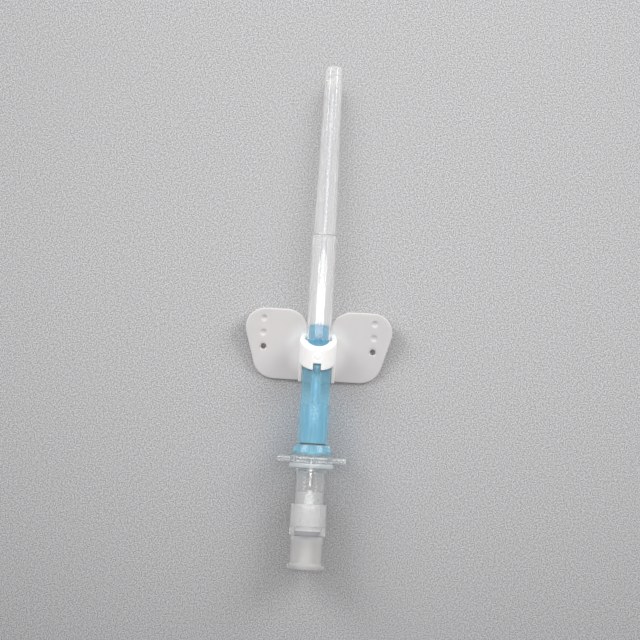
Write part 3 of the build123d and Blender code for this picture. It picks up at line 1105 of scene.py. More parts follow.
@dataclass
class WingMoulding:
    """The white moulding: raked collar, trough and the two hinged wings.

    Attributes:
        layout: Where the axis lies.
        material: The moulding's material.
        collar_radius: Outer radius of the collar.
        front_station: Station of the raked front at the axis.
        front_rake: Lean of the front, in degrees.
        rear_station: Station of the raked rear at the axis.
        rear_rake: Lean of the rear, in degrees.
        trough_length: How far the trough reaches behind the shoulder.
        trough_top: Height of the trough's upper edges over the axis.
        body_bore: Radius of the bore round the hub's body.
        body_seat: Station of that bore's front end.
        neck_bore: Radius of the bore round the hub's neck.
        cover_bore: Radius of the bore round the cover's rim.
        seat: Station of the step to the cover's bore.
        key_half_width: Half the width of the keyway.
        key_front: Station of the keyway's closed end.
        gate_station: Station of the round gate mark.
        gate_radius: Radius of the gate mark.
        gate_groove: Width of its groove.
        gate_depth: Depth of its groove.
        gate_edge: Rounding of the groove's edges.
        edge: Rounding of the outer edges.
        inner_edge: Rounding of the bore's edges.
        bridge_fillet: Filling between the collar and the plate that passes under the hub.
        bridge_edge: Rounding of that plate's sides, and how far they reach past the wings' roots.
        bridge_end: Rounding of its ends.
        low: Lowest corner of the space that holds the collar.
        high: Highest corner of that space.
        voxel: Size of the cells that the space is cut into.
        crease: Angle in degrees past which an edge stays sharp.
    """

    layout: Layout
    material: bpy.types.Material
    collar_radius: float = 3.75
    front_station: float = 4.8
    front_rake: float = 33.0
    rear_station: float = 0.3
    rear_rake: float = 29.5
    trough_length: float = 4.15
    trough_top: float = -0.35
    body_bore: float = 3.0
    body_seat: float = 0.05
    neck_bore: float = 2.25
    cover_bore: float = 2.72
    seat: float = 4.5
    key_half_width: float = 0.80
    key_front: float = -0.35
    gate_station: float = 1.3
    gate_radius: float = 0.85
    gate_groove: float = 0.20
    gate_depth: float = 0.07
    gate_edge: float = 0.05
    edge: float = 0.22
    inner_edge: float = 0.14
    bridge_fillet: float = 0.25
    bridge_edge: float = 0.1
    bridge_end: float = 0.2
    low: Corner = (-4.0, -4.6, -4.35)
    high: Corner = (4.0, 7.6, 4.0)
    voxel: float = 0.085
    crease: float = 70.0

    def build_collar_tree(self, plate: WingPlate) -> bpy.types.NodeTree:
        """Builds the Geometry Nodes tree that grows the collar from its distance field.

        Args:
            plate: A wing, whose slope the bridge under the collar follows.

        Returns:
            A tree with the inputs Collar Radius, Front Station, Rear Station, Gate Radius and Finish.
        """
        tree = bpy.data.node_groups.new("collar_form", "GeometryNodeTree")
        shop = NodeShop(tree)
        sizes = ("Collar Radius", "Front Station", "Rear Station", "Gate Radius")
        shop.declare({**dict.fromkeys(sizes, "Float"), "Finish": "Material"}, {"Collar": "Geometry"})
        given = shop.add("NodeGroupInput").outputs
        position = shop.add("GeometryNodeInputPosition")
        parts = shop.add("ShaderNodeSeparateXYZ", {"Vector": position.outputs["Position"]})
        across, station, height = (Field(shop, parts.outputs[axis]) for axis in "XYZ")
        inputs = {name: Field(shop, given[name]) for name in sizes}
        at = Spot(across, station, height, across.hypot(height), inputs)

        body = self.raked_ring(at).either(self.bridge(at, plate), self.bridge_fillet)
        body = body.without(self.stepped_bore(at), self.inner_edge)
        body = body.without(self.keyway(at), self.inner_edge)
        body = body.without(self.gate_mark(at), self.gate_edge)

        lengths = Vector(self.high) - Vector(self.low)
        cells = {f"Resolution {axis}": round(length / self.voxel) for axis, length in zip("XYZ", lengths)}
        cube = shop.add("GeometryNodeVolumeCube", {
            "Background": -1.0, "Min": self.low, "Max": self.high, **cells, "Density": -body,
        })
        mesh = shop.add("GeometryNodeVolumeToMesh", {"Threshold": 0.0, "Volume": cube.outputs["Volume"]})
        shop.end_shape(mesh.outputs["Mesh"], given["Finish"], "Collar")
        return tree

    def raked_ring(self, at: Spot) -> Field:
        """Shapes the collar and trough before their bore is cut.

        Args:
            at: Where the points lie.

        Returns:
            The distance to them.
        """
        front = math.radians(self.front_rake)
        rear = math.radians(self.rear_rake)
        ahead = (at.station - at.sizes["Front Station"] + at.height * math.tan(front)) * math.cos(front)
        behind = (at.sizes["Rear Station"] - at.height * math.tan(rear) - at.station) * math.cos(rear)
        trough = (at.height - self.trough_top).both(-at.station - self.trough_length)
        skin = at.radius - at.sizes["Collar Radius"]
        return skin.both(ahead, self.edge).both(behind.either(trough, self.inner_edge), self.edge)

    def bridge(self, at: Spot, plate: WingPlate) -> Field:
        """Shapes the part of the wings' plate that passes under the hub.

        Args:
            at: Where the points lie.
            plate: A wing, whose slope it follows.

        Returns:
            The distance to it.
        """
        pitch = math.radians(plate.pitch)
        behind = at.station - plate.rear_station
        below = at.height + plate.rear_drop
        along = behind * math.cos(pitch) + below * math.sin(pitch)
        above = below * math.cos(pitch) - behind * math.sin(pitch)
        chord = (self.seat - plate.rear_station) / math.cos(pitch)
        slab = (above + plate.thickness / 2).size() - plate.thickness / 2
        slab = slab.both(at.across.size() - plate.root - self.bridge_edge, self.bridge_edge)
        return slab.both(-along, self.bridge_end).both(along - chord, self.bridge_end)

    def stepped_bore(self, at: Spot) -> Field:
        """Shapes the room that the hub and the cover's rim need inside.

        Args:
            at: Where the points lie.

        Returns:
            The distance to it.
        """
        body = (at.radius - self.body_bore).both(at.station - self.body_seat)
        cover = (at.radius - self.cover_bore).both(-at.station + self.seat)
        return body.either(at.radius - self.neck_bore).either(cover)

    def keyway(self, at: Spot) -> Field:
        """Returns the distance to the keyway in the collar's top."""
        return (at.across.size() - self.key_half_width).both(at.station - self.key_front).both(-at.height)

    def gate_mark(self, at: Spot) -> Field:
        """Shapes the shallow round groove on top.

        Args:
            at: Where the points lie.

        Returns:
            The distance to it.
        """
        centre = at.across.hypot(at.station - self.gate_station)
        ring = (centre - at.sizes["Gate Radius"]).size() - self.gate_groove / 2
        return ring.both(-at.radius + (self.collar_radius - self.gate_depth)).both(-at.height)

    def build_collar(self, plate: WingPlate) -> bpy.types.Object:
        """Makes the collar, which stands for its solid.

        Args:
            plate: A wing, whose slope the bridge under the collar follows.

        Returns:
            The collar's object.
        """
        mesh = grow(bpy.data.meshes.new("collar_work"), self.build_collar_tree(plate), {
            "Collar Radius": self.collar_radius, "Front Station": self.front_station,
            "Rear Station": self.rear_station, "Gate Radius": self.gate_radius, "Finish": self.material,
        })
        mesh.transform(self.layout.matrix())
        collar = show("wing_collar_skin", finish_mesh(mesh, self.crease))
        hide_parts("wing_collar")
        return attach(collar, "catheter_unit")

    def build_wing(self, side: int, node: str) -> bpy.types.Object:
        """Makes one wing, whose plate has the groove of its living hinge.

        Args:
            side: 1 for the right wing and -1 for the left.
            node: The solid that the wing stands for.

        Returns:
            The wing's object.
        """
        plate = WingPlate(self.layout, side)
        wing = show(f"{node}_skin", plate.mesh(self.material))
        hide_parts(node)
        height = -plate.rear_drop
        start = self.layout.place(side * (plate.hinge - plate.hinge_reach), plate.rear_station, height)
        end = self.layout.place(side * (plate.hinge + plate.hinge_reach), plate.rear_station, height)
        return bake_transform(wing)

    def build(self) -> list[bpy.types.Object]:
        """Makes the whole moulding.

        Returns:
            The collar, the left wing and the right wing.
        """
        collar = self.build_collar(WingPlate(self.layout, 1))
        left = self.build_wing(-1, "wing_left")
        right = self.build_wing(1, "wing_right")
        return [collar, left, right]


@dataclass
class TurnedPart:
    """A part turned round the needle's axis, with zones that have finishes of their own.

    Its sizes are the stations and the radii (names in _r) of its section's corners.

    Attributes:
        layout: Where the axis lies.
        lathe: Turns outlines.
        workshop: Makes the materials.
        zones: Finishes of the zones.
        slack: How far a face may lie past the end of its zone.
        crease: Angle in degrees past which an edge stays sharp.
    """

    layout: Layout
    lathe: Lathe
    workshop: Workshop
    zones: ClassVar[tuple[Finish, ...]] = ()
    slack: ClassVar[float] = 0.01
    crease: ClassVar[float] = 40.0

    def ahead(self, face: bpy.types.MeshPolygon, station: float) -> float:
        """Returns how far the middle of a face lies in front of a station."""
        return (face.center.y - self.layout.place(0, station, 0).y) / MM

    def radius(self, face: bpy.types.MeshPolygon) -> float:
        """Returns how far the middle of a face lies from the axis."""
        return math.hypot(face.center.x, face.center.z - self.layout.axis_height) / MM

    def zone(self, face: bpy.types.MeshPolygon) -> Finish | None:
        """Returns the finish of the zone that a face lies in, if it lies in one."""
        raise NotImplementedError

    def dress(self, mesh: bpy.types.Mesh, name: str) -> bpy.types.Object:
        """Puts a mesh in its place, smooths it and gives its zones their finishes.

        Args:
            mesh: The closed mesh, in (across, station, height) millimetres.
            name: The piece's name.

        Returns:
            The dressed piece.
        """
        mesh.transform(self.layout.matrix())
        finish_mesh(mesh, self.crease)
        slots: dict[Finish | None, int] = {}
        for finish in self.zones:
            slots[finish] = len(mesh.materials)
            mesh.materials.append(self.workshop.material(finish))
        for face in mesh.polygons:
            face.material_index = slots.get(self.zone(face), face.material_index)
        return show(name, mesh)


@dataclass
class CatheterUnit(TurnedPart):
    """The coloured hub of the soft tube, with its nose, key rib and lock."""

    zones = (GROOVE_PAINTED_SHADE,)
    nose_r: float = 2.05
    nose_edge: float = 0.28
    neck_r: float = 2.20
    neck_length: float = 4.6
    body_r: float = 2.90
    body_rear_r: float = 3.03
    step: float = -8.6
    seam_r: float = 2.78
    seam_width: float = 0.25
    body_rear: float = -16.6
    relief_r: float = 2.68
    lock_front: float = -16.95
    lock_front_r: float = 3.50
    lock_mouth_r: float = 3.97
    lock_lip: float = 0.45
    mouth: float = -18.85
    socket_mouth_r: float = 2.15
    socket_floor_r: float = 1.8425
    channel_r: float = 0.75
    channel_front: float = -3.1
    tube_r: float = 0.65
    tube_start: float = -2.7
    key_half_width: float = 0.75
    key_rear: float = -2.1
    key_front: float = -0.40
    key_top: float = 3.50
    key_shoulder: float = 3.40
    key_foot: float = 2.60
    key_edge: float = 0.05

    def outline(self) -> list[Corner]:
        """Lists the corners of the hub's section.

        Returns:
            The corners, outside first.
        """
        nose_front, seam_front = self.layout.nose_front, self.step + self.seam_width
        return [
            (self.mouth, self.socket_mouth_r, 0.06), (self.mouth, self.lock_mouth_r, 0.10),
            (self.mouth + self.lock_lip, self.lock_mouth_r, 0.12),
            (self.lock_front, self.lock_front_r, 0.15), (self.lock_front, self.relief_r, 0.08),
            (self.body_rear, self.relief_r, 0.08), (self.body_rear, self.body_rear_r, 0.12),
            (self.step, self.body_rear_r, 0.05), (self.step, self.seam_r, 0.03),
            (seam_front, self.seam_r, 0.03), (seam_front, self.body_r, 0.03), (0, self.body_r, 0.15),
            (0, self.neck_r, 0.10), (self.neck_length, self.neck_r, 0.04),
            (self.neck_length, self.nose_r, 0.03), (nose_front - self.nose_edge, self.nose_r, 0.2),
            (nose_front, self.nose_r - self.nose_edge, 0.2), (nose_front, self.tube_r, 0.04),
            (self.tube_start, self.tube_r, 0), (self.channel_front, self.channel_r, 0),
            (self.step, self.channel_r, 0.03), (self.step, self.socket_floor_r, 0.12),
        ]

    def key_outline(self) -> Section:
        """Returns the key rib's cross-section."""
        wide, foot, side = self.key_half_width, self.key_foot, self.key_shoulder
        return [(-wide, foot), (wide, foot), (wide, side), (0, self.key_top), (-wide, side)]

    def build(self) -> list[bpy.types.Object]:
        """Makes the hub.

        Returns:
            The hub, as the only piece.
        """
        hub = self.lathe.turn(self.outline(), self.workshop.material(BLUE_PLASTIC))
        hub = combine(hub, prism(self.key_outline(), self.key_rear, self.key_front, self.key_edge), "UNION")
        piece = self.dress(hub, "catheter_hub_skin")
        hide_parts("catheter_hub")
        return [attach(piece, "catheter_unit")]

    def zone(self, face: bpy.types.MeshPolygon) -> Finish | None:
        """Picks out the floor of the groove in front of the lock, which gets a painted shade.

        Args:
            face: A face of the hub.

        Returns:
            The finish of its zone.
        """
        in_groove = self.ahead(face, self.lock_front) > 0 > self.ahead(face, self.body_rear)
        in_wall = self.socket_mouth_r < self.radius(face) < self.body_rear_r
        return GROOVE_PAINTED_SHADE if in_groove and in_wall else None


@dataclass
class Cover(TurnedPart):
    """The clear sheath over the needle."""

    zones = (SHEATH_MOUTH, SHEATH_STEP_PAINTED_SHADE)
    rim: float = 4.61
    rim_r: float = 2.62
    nose_front: float = 7.72
    bore_r: float = 2.08
    flare_front: float = 5.41
    sleeve_r: float = 2.50
    step: float = 26.11
    step_front: float = 26.36
    waist_r: float = 2.30
    end: float = 58.752
    dome: float = 60.702
    dome_r: float = 1.68
    crown: float = 61.092
    crown_r: float = 0.75
    tip: float = 61.252
    cone_rear: float = 57.652
    front_bore_r: float = 1.29
    step_reach: float = 0.3

    def outline(self) -> list[Corner]:
        """Lists the corners of the sheath's section.

        Returns:
            The corners, outside first.
        """
        return [
            (self.rim, self.bore_r, 0.10), (self.rim, self.rim_r, 0.20),
            (self.flare_front, self.sleeve_r, 1.0), (self.nose_front, self.sleeve_r, 0),
            (self.step, self.sleeve_r, 0.10), (self.step_front, self.waist_r, 0.15),
            (self.dome, self.dome_r, 0.6), (self.crown, self.crown_r, 0.6), (self.tip, 0, 0),
            (self.end, 0, 0), (self.cone_rear, self.front_bore_r, 0.3),
            (self.step, self.front_bore_r, 0.25), (self.step, self.bore_r, 0.25),
            (self.nose_front, self.bore_r, 0),
        ]

    def build(self) -> list[bpy.types.Object]:
        """Makes the sheath.

        Returns:
            The sheath, as the only piece.
        """
        sheath = self.lathe.turn(self.outline(), self.workshop.material(CLEAR_SHEATH))
        piece = self.dress(sheath, "protective_sheath_skin")
        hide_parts("protective_sheath")
        return [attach(piece, "cover")]

    def zone(self, face: bpy.types.MeshPolygon) -> Finish | None:
        """Picks out the mouth, where the hub's nose wets the wall, and the outer step, which gets a painted
        dark line of shade.

        Args:
            face: A face of the sheath.

        Returns:
            The finish of its zone.
        """
        if self.ahead(face, self.nose_front) < 0:
            return SHEATH_MOUTH
        at_step = abs(self.ahead(face, (self.step + self.step_front) / 2)) < self.step_reach
        outside = face.normal.y > FACING_AHEAD and self.radius(face) > self.bore_r
        return SHEATH_STEP_PAINTED_SHADE if at_step and outside else None


@dataclass
class NeedleUnit(TurnedPart):
    """The clear needle hub: taper nose, grip with ears, stop disc and blood chamber."""

    zones = (CLEAR_DISC_PAINTED_LIGHT, CLEAR_EDGE_PAINTED_SHADE)
    crease = 35.0
    nose_tip: float = -12.05
    nose_tip_r: float = 1.936
    ears_front: float = -19.25
    ears_front_r: float = 2.152
    disc_front: float = -20.75
    disc_rear: float = -21.65
    disc_r: float = 4.65
    disc_edge: float = 0.15
    disc_inner_r: float = 3.30
    chamber_r: float = 3.10
    chamber_bore_r: float = 2.55
    chamber_front: float = -22.25
    chamber_rear: float = -33.55
    needle_bore_r: float = 0.49
    grip_half_width: float = 4.3
    grip_half_height: float = 3.2
    grip_chamfer: float = 1.2
    grip_edge: float = 0.10
    ear_half_span: float = 7.2
    ear_half_height: float = 1.3
    ear_round: float = 0.6
    ear_steps: int = 6
    ear_edge: float = 0.20
    ear_root: float = 4.35
    overlap: float = 0.02
    margin: float = 1.0

    def outside(self) -> list[Corner]:
        """Lists the corners of the turned outside.

        Returns:
            The corners, closed along the axis.
        """
        return [
            (self.nose_tip, 0, 0), (self.nose_tip, self.nose_tip_r, 0.15),
            (self.ears_front, self.ears_front_r, 0), (self.disc_front, self.ears_front_r, 0),
            (self.disc_front, self.disc_r, self.disc_edge), (self.disc_rear, self.disc_r, self.disc_edge),
            (self.disc_rear, self.chamber_r, 0.12), (self.chamber_rear, self.chamber_r, 0.12),
            (self.chamber_rear, 0, 0),
        ]

    def inside(self) -> list[Corner]:
        """Lists the corners of the chamber and the needle's bore.

        Returns:
            The corners, which reach past both ends.
        """
        rear, front = self.chamber_rear - self.margin, self.nose_tip + self.margin
        return [
            (rear, 0, 0), (rear, self.chamber_bore_r, 0), (self.chamber_front, self.chamber_bore_r, 0.25),
            (self.chamber_front, self.needle_bore_r, 0), (front, self.needle_bore_r, 0), (front, 0, 0),
        ]

    def grip_outline(self) -> Section:
        """Lists the corners of the grip's cross-section.

        Returns:
            A rectangle with cut corners.
        """
        wide, tall, cut = self.grip_half_width, self.grip_half_height, self.grip_chamfer
        return [(wide, -tall + cut), (wide, tall - cut), (wide - cut, tall), (-wide + cut, tall),
                (-wide, tall - cut), (-wide, -tall + cut), (-wide + cut, -tall), (wide - cut, -tall)]

    def ears(self) -> bpy.types.Mesh:
        """Makes the bar of both ears, with round ends.

        Returns:
            The closed mesh, in (across, station, height) millimetres.
        """
        tall, round_r = self.ear_half_height, self.ear_round
        corners: list[Corner] = []
        for sign_x, sign_y, start in ((1, -1, -90), (1, 1, 0), (-1, 1, 90), (-1, -1, 180)):
            middle_x = sign_x * (self.ear_half_span - round_r)
            middle_y = self.ears_front - round_r if sign_y > 0 else self.disc_front + round_r
            for step in range(self.ear_steps + 1):
                turn = math.radians(start + 90 * step / self.ear_steps)
                corners.append((middle_x + round_r * math.cos(turn), middle_y + round_r * math.sin(turn),
                                -tall))
        return draw_out(corners, (0, 0, 2 * tall), self.ear_edge, ends_only=True)

    def build(self) -> list[bpy.types.Object]:
        """Makes the needle hub.

        Returns:
            The needle hub, as the only piece.
        """
        clear = self.workshop.material(CLEAR_HUB)
        hub = self.lathe.turn(self.outside(), clear)
        grip = prism(self.grip_outline(), self.disc_front - self.overlap, self.ears_front, self.grip_edge)
        hub = combine(hub, grip, "UNION")
        hub = combine(hub, self.ears(), "UNION")
        hub = combine(hub, self.lathe.turn(self.inside(), clear), "DIFFERENCE")
        piece = self.dress(hub, "needle_hub_skin")
        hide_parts("needle_hub")
        return [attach(piece, "needle_unit")]

    def zone(self, face: bpy.types.MeshPolygon) -> Finish | None:
        """Picks out the disc outside the chamber's wall, made cloudier and bluer as painted light, and the
        ears' edges, darkened as painted shade.

        Args:
            face: A face of the needle hub.

        Returns:
            The finish of its zone.
        """
        ahead_of_disc = self.ahead(face, self.disc_front)
        in_disc = ahead_of_disc < self.slack and self.ahead(face, self.disc_rear) > -self.slack
        if in_disc and self.radius(face) > self.disc_inner_r:
            return CLEAR_DISC_PAINTED_LIGHT
        on_ear = ahead_of_disc > 0 and abs(face.center.x) > self.ear_root * MM
        return CLEAR_EDGE_PAINTED_SHADE if on_ear and abs(face.normal.z) < LYING_FLAT else None


@dataclass
class VentUnit(TurnedPart):
    """The frosted plug that closes the chamber, with its rear port."""

    zones = (FROSTED_CORE, FROSTED_RIM, PLUG_PAINTED_SHADE, FROSTED_SKIRT)
    crease = 35.0
    nub_front: float = -26.10
    nub_r: float = 0.60
    spigot_front: float = -26.55
    spigot_r: float = 2.52
    spigot_bore_r: float = 1.92
    spigot_wall: float = 0.6
    gap_rear: float = -33.58
    skirt_bore_r: float = 3.13
    skirt_front: float = -29.05
    skirt_r: float = 3.73
    skirt_rear: float = -35.55
    barrel_r: float = 3.28
    barrel_rear: float = -41.15
    rim_front: float = -41.65
    rim_r: float = 3.90
    rear: float = -42.35
    port_r: float = 2.30
    port_floor: float = -37.10
    seat_r: float = 2.10
    web_rear: float = -36.30
    web_hole_r: float = 0.80
    slot_half_height: float = 0.35
    slot_length: float = 1.8
    painted_shade_front: float = -34.55
    painted_shade_slack: float = 0.02
    core_slack: float = 0.05

    def outline(self) -> list[Corner]:
        """Lists the corners of the plug's section.

        Returns:
            The corners, outside first.
        """
        inner = self.spigot_front - self.spigot_wall
        return [
            (self.nub_front, 0, 0), (self.nub_front, self.nub_r, 0.1), (self.spigot_front, self.nub_r, 0.05),
            (self.spigot_front, self.spigot_r, 0.25), (self.gap_rear, self.spigot_r, 0),
            (self.gap_rear, self.skirt_bore_r, 0), (self.skirt_front, self.skirt_bore_r, 0.1),
            (self.skirt_front, self.skirt_r, 0.18), (self.skirt_rear, self.skirt_r, 0.18),
            (self.skirt_rear, self.barrel_r, 0.08), (self.barrel_rear, self.barrel_r, 0.4),
            (self.rim_front, self.rim_r, 0.05), (self.rear, self.rim_r, 0.06),
            (self.rear, self.port_r, 0.15), (self.port_floor, self.port_r, 0),
            (self.port_floor, self.seat_r, 0), (self.web_rear, self.seat_r, 0),
            (self.web_rear, self.web_hole_r, 0), (self.skirt_rear, self.web_hole_r, 0),
            (self.skirt_rear, self.spigot_bore_r, 0.2), (self.painted_shade_front, self.spigot_bore_r, 0),
            (inner, self.spigot_bore_r, 0.2), (inner, 0, 0),
        ]

    def build(self) -> list[bpy.types.Object]:
        """Makes the plug.

        Returns:
            The plug, as the only piece.
        """
        plug = self.lathe.turn(self.outline(), self.workshop.material(FROSTED_PLASTIC))
        front, tall, wide = self.spigot_front - self.spigot_wall, self.slot_half_height, 2 * self.spigot_r
        slot = prism([(wide, -tall), (wide, tall), (-wide, tall), (-wide, -tall)],
                     front - self.slot_length, front, 0)
        piece = self.dress(combine(plug, slot, "DIFFERENCE"), "vent_plug_skin")
        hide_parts("vent_plug")
        return [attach(piece, "vent")]

    def zone(self, face: bpy.types.MeshPolygon) -> Finish | None:
        """Picks out the milkier spigot, the clearer skirt, the painted shade at the end of the spigot's bore
        and the rim.

        Args:
            face: A face of the plug.

        Returns:
            The finish of its zone.
        """
        ahead, radius = self.ahead(face, self.skirt_rear), self.radius(face)
        if ahead <= -self.slack:
            return FROSTED_RIM if self.ahead(face, self.barrel_rear) < 0 else None
        # Painted shade: the last stretch of the spigot's bore gets the dark band.
        if self.ahead(face, self.painted_shade_front) < 0 and radius < self.spigot_bore_r + self.painted_shade_slack:
            return PLUG_PAINTED_SHADE
        return FROSTED_CORE if ahead > 0 and radius < self.spigot_r + self.core_slack else FROSTED_SKIRT


def dress_kept_nodes(nodes: dict[str, bpy.types.Object], workshop: Workshop) -> None:
    """Gives the solids that show as they are their finishes.

    Args:
        nodes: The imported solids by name.
        workshop: Makes the materials.
    """
    for name, finish, slot in (
        ("needle", NEEDLE_STEEL, "needle_steel"), ("catheter_bush", BUSH_STEEL, "bush_steel"),
        ("catheter_tube", CATHETER_FILM, "catheter_film"), ("vent_filter", FILTER_FIBRE, "porous_filter"),
    ):
        node = nodes[name]
        node.data.materials.clear()
        node.data.materials.append(workshop.material(finish))
        LOG.info("dressed %s", name)


@dataclass
class Studio:
    """The grey table, the lamps, the world and the camera.

    Lengths are in metres unless they are said to be stations, which are in millimetres.

    Attributes:
        layout: Where the axis lies.
        rest_tilt: How far the table leans so that the part rests on disc and collar, in degrees.
        disc_front: Station of the stop disc's edge that the table touches.
        disc_radius: The disc's radius, in millimetres.
        lens: Focal length of the camera, in millimetres.
        sensor: Width of its sensor, in millimetres.
        distance: From the camera to the axis.
        turn: How far the needle's point leans to the right in the picture, in degrees.
        aim: Station of the picture's middle.
        aim_across: Place of the picture's middle across the axis, in millimetres.
        table_width: Width of the table.
        table_grey: Grey of the table at the picture's middle.
        table_tint: What its red, green and blue are of that grey.
        grain_scale: Scale of the table's grain per metre.
        grain_depth: How much lighter and darker than the grey the grain gets.
        fall_reach: Distance to either side up to which the grey changes.
        fall_slope: How much it changes to the right, per metre.
        fall_curve: How much it falls to both sides, per square metre.
        near_start: Place along Y at which it starts to fall towards the near side.
        near_reach: Distance from there up to which it falls.
        near_curve: How much it falls there, per square metre.
        side_azimuth: How far each side lamp is turned from straight ahead, in degrees.
        side_elevation: Height of the side lamps over the table, in degrees.
        side_distance: Their distance from the part.
        side_size: Their width and height.
        side_power: Their power, in watts.
        overhead_place: Place of the overhead lamp: right, ahead and up.
        overhead_size: Its width and height.
        overhead_power: Its power, in watts.
        sky_top: Light of the sky overhead.
        sky_low: Light of the sky at the horizon.
        sky_lean: By what share the sky gets brighter from overhead to straight ahead.
        sky_color: Colour of its light.
        room_color: Colour of the room that the camera and the clear pieces see.
    """

    layout: Layout
    rest_tilt: float = 1.83
    disc_front: float = -20.75
    disc_radius: float = 4.65
    lens: float = 150.0
    sensor: float = 36.0
    distance: float = 0.5476
    turn: float = 3.35
    aim: float = 8.716
    aim_across: float = 0.067
    table_width: float = 4.0
    table_grey: float = 0.500
    table_tint: Color = (1.006, 0.989, 1.005)
    grain_scale: float = 4200.0
    grain_depth: float = 0.34
    fall_reach: float = 0.07
    fall_slope: float = 0.38
    fall_curve: float = 14.6
    near_start: float = 0.02
    near_reach: float = 0.09
    near_curve: float = 26.0
    side_azimuth: float = 52.0
    side_elevation: float = 28.0
    side_distance: float = 0.9
    side_size: float = 0.42
    side_power: float = 5.2
    overhead_place: Corner = (0.0, 0.096, 0.8)
    overhead_size: tuple[float, float] = (1.34, 0.09)
    overhead_power: float = 2.35
    sky_top: float = 0.35
    sky_low: float = 0.02
    sky_lean: float = 0.95
    sky_color: Color = (0.97, 0.985, 1.0)
    room_color: Color = (0.62, 0.62, 0.625)

    def table_axes(self) -> tuple[Vector, Vector]:
        """Returns the directions ahead along the table and straight up from it."""
        tilt = math.radians(self.rest_tilt)
        return Vector((0, math.cos(tilt), math.sin(tilt))), Vector((0, -math.sin(tilt), math.cos(tilt)))

    def build_table(self) -> bpy.types.Object:
        """Makes the grey table, which touches the lowest point of the stop disc.

        Returns:
            The table.
        """
        ahead, _ = self.table_axes()
        middle = self.layout.place(0, self.disc_front, -self.disc_radius)
        reach = self.table_width / 2
        corners = [middle + Vector((x * reach, 0, 0)) + ahead * (y * reach)
                   for x, y in ((-1, -1), (1, -1), (1, 1), (-1, 1))]
        mesh = bpy.data.meshes.new("table")
        mesh.from_pydata(corners, [], [(0, 1, 2, 3)])
        mesh.materials.append(self.table_material())
        table = show("table", mesh)
        return table

    def table_material(self) -> bpy.types.Material:
        """Builds the table's grey, with a fine grain and painted light that falls off slowly to the sides and
        the near end.

        Returns:
            The material.
        """
        made = bpy.data.materials.new("table_grey")
        shop = open_shop(made)
        place = shop.add("ShaderNodeTexCoord").outputs["Object"]
        fine = shop.add("ShaderNodeTexNoise", {"Scale": self.grain_scale, "Detail": 0.0, "Vector": place},
                        noise_dimensions="2D")
        speckle = shop.add("ShaderNodeMapRange", {
            "From Min": 0.25, "From Max": 0.75, "To Min": 1 - self.grain_depth,
            "To Max": 1 + self.grain_depth, "Value": fine.outputs["Fac"],
        })
        parts = shop.add("ShaderNodeSeparateXYZ", {"Vector": place})
        across = Field(shop, parts.outputs["X"])
        across = across.math("MINIMUM", self.fall_reach).math("MAXIMUM", -self.fall_reach)
        near = -Field(shop, parts.outputs["Y"]) + self.near_start
        near = near.math("MAXIMUM", 0.0).math("MINIMUM", self.near_reach)
        # Painted light: the grey falls off to the sides and towards the near end, where less light falls.
        slope = across * self.fall_slope - across * across * self.fall_curve - near * near * self.near_curve
        level = (slope + 1.0) * self.table_grey * Field(shop, speckle.outputs["Result"])
        tone = shop.add("ShaderNodeCombineColor", {
            name: level * tint for name, tint in zip(("Red", "Green", "Blue"), self.table_tint)
        })
        shader = shop.add("ShaderNodeBsdfPrincipled", {
            "Base Color": tone.outputs["Color"], "Roughness": 0.75, "Specular IOR Level": 0.2,
        })
        shop.add("ShaderNodeOutputMaterial", {"Surface": shader.outputs["BSDF"]})
        return made

    def aim_lamp(self, name: str, offset: Vector, size: tuple[float, float], power: float) -> None:
        """Adds a soft rectangular lamp that looks at the part.

        Args:
            name: The lamp's name.
            offset: From the picture's middle: right, along the table to the top, and up from it.
            size: Width and height.
            power: Power in watts.
        """
        data = bpy.data.lights.new(name, "AREA")
        data.shape = "RECTANGLE"
        data.size, data.size_y = size
        data.energy = power
        lamp = bpy.data.objects.new(name, data)
        ahead, up = self.table_axes()
        reach = Vector((offset.x, 0, 0)) + ahead * offset.y + up * offset.z
        lamp.location = self.layout.place(0, self.aim, 0) + reach
        lamp.rotation_euler = reach.to_track_quat("Z", "Y").to_euler()
        bpy.context.scene.collection.objects.link(lamp)

    def build_lamps(self) -> None:
        """Adds a lamp on either side of the needle's point and a long narrow one overhead."""
        rise = math.radians(self.side_elevation)
        for name, turn in (("left_lamp", -self.side_azimuth), ("right_lamp", self.side_azimuth)):
            turn = math.radians(turn)
            way = Vector((math.sin(turn) * math.cos(rise), math.cos(turn) * math.cos(rise), math.sin(rise)))
            self.aim_lamp(name, way * self.side_distance, (self.side_size, self.side_size), self.side_power)
        self.aim_lamp("overhead_lamp", Vector(self.overhead_place), self.overhead_size, self.overhead_power)

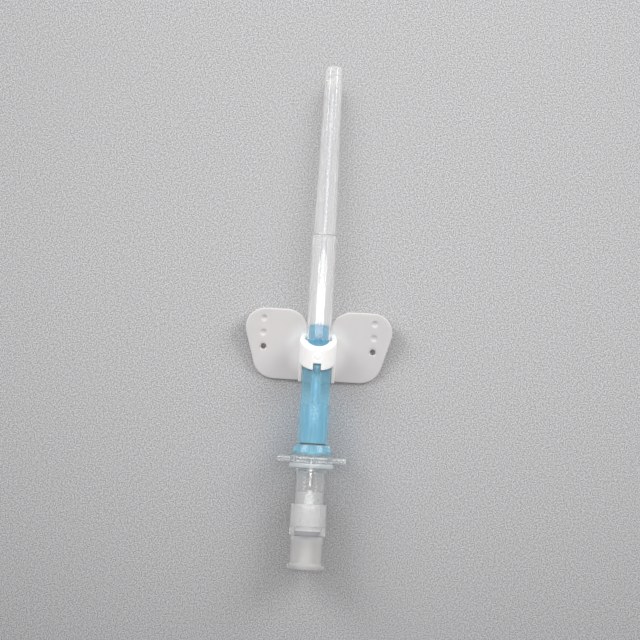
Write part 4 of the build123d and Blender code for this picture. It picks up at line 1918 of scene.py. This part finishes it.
    def build_world(self) -> None:
        """Makes a sky that is brightest overhead and ahead, and the pale room that is seen in its place."""
        world = bpy.data.worlds.new("room")
        bpy.context.scene.world = world
        shop = open_shop(world)
        way = shop.add("ShaderNodeTexCoord")
        parts = shop.add("ShaderNodeSeparateXYZ", {"Vector": way.outputs["Generated"]})
        height = Field(shop, parts.outputs["Z"]).math("MAXIMUM", 0.0)
        ahead = Field(shop, parts.outputs["Y"]) * self.sky_lean + 1.0
        light = shop.add("ShaderNodeBackground", {
            "Color": (*self.sky_color, 1.0), "Strength": height * ahead * self.sky_top + self.sky_low,
        })
        room = shop.add("ShaderNodeBackground", {"Color": (*self.room_color, 1.0), "Strength": 1.0})
        path = shop.add("ShaderNodeLightPath")
        camera, glossy, clear = (Field(shop, path.outputs[f"Is {ray} Ray"])
                                 for ray in ("Camera", "Glossy", "Transmission"))
        seen = (camera + glossy + clear).math("MINIMUM", 1.0)
        mix = shop.add("ShaderNodeMixShader", {
            "Fac": seen, 1: light.outputs["Background"], 2: room.outputs["Background"],
        })
        shop.add("ShaderNodeOutputWorld", {"Surface": mix.outputs["Shader"]})

    def build_camera(self) -> None:
        """Places the camera straight over the part, square to the table."""
        data = bpy.data.cameras.new("camera")
        data.lens = self.lens
        data.sensor_width = self.sensor
        data.clip_start = 0.01
        data.clip_end = 10.0
        camera = bpy.data.objects.new("camera", data)
        _, back = self.table_axes()
        turn = math.radians(self.turn)
        right = Vector((math.cos(turn), math.sin(turn), 0))
        right = (right - back * right.dot(back)).normalized()
        at = self.layout.place(self.aim_across, self.aim, 0) + back * self.distance
        columns = [vector.to_4d() for vector in (right, back.cross(right), back, at)]
        for column in columns[:3]:
            column.w = 0
        camera.matrix_world = Matrix(columns).transposed()
        bpy.context.scene.collection.objects.link(camera)
        bpy.context.scene.camera = camera

    def build(self) -> None:
        """Makes the whole studio."""
        bpy.context.scene.view_settings.view_transform = "Standard"
        self.build_table()
        self.build_world()
        self.build_lamps()
        self.build_camera()


def main() -> None:
    """Loads the frame, builds each sub-assembly and the studio, and logs each piece's face count."""
    logging.basicConfig(level=logging.INFO, format="%(message)s")
    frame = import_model()
    layout = Layout()
    workshop = Workshop(layout)
    lathe = Lathe()
    builders: list[Callable[[], list[bpy.types.Object]]] = [
        WingMoulding(layout, workshop.material(WHITE_PLASTIC)).build,
        CatheterUnit(layout, lathe, workshop).build,
        Cover(layout, lathe, workshop).build,
        NeedleUnit(layout, lathe, workshop).build,
        VentUnit(layout, lathe, workshop).build,
    ]
    for builder in builders:
        for piece in builder():
            LOG.info("made %s with %d faces", piece.name, len(piece.data.polygons))
    dress_kept_nodes(frame["nodes"], workshop)
    Studio(layout).build()


if __name__ == "__main__":
    main()
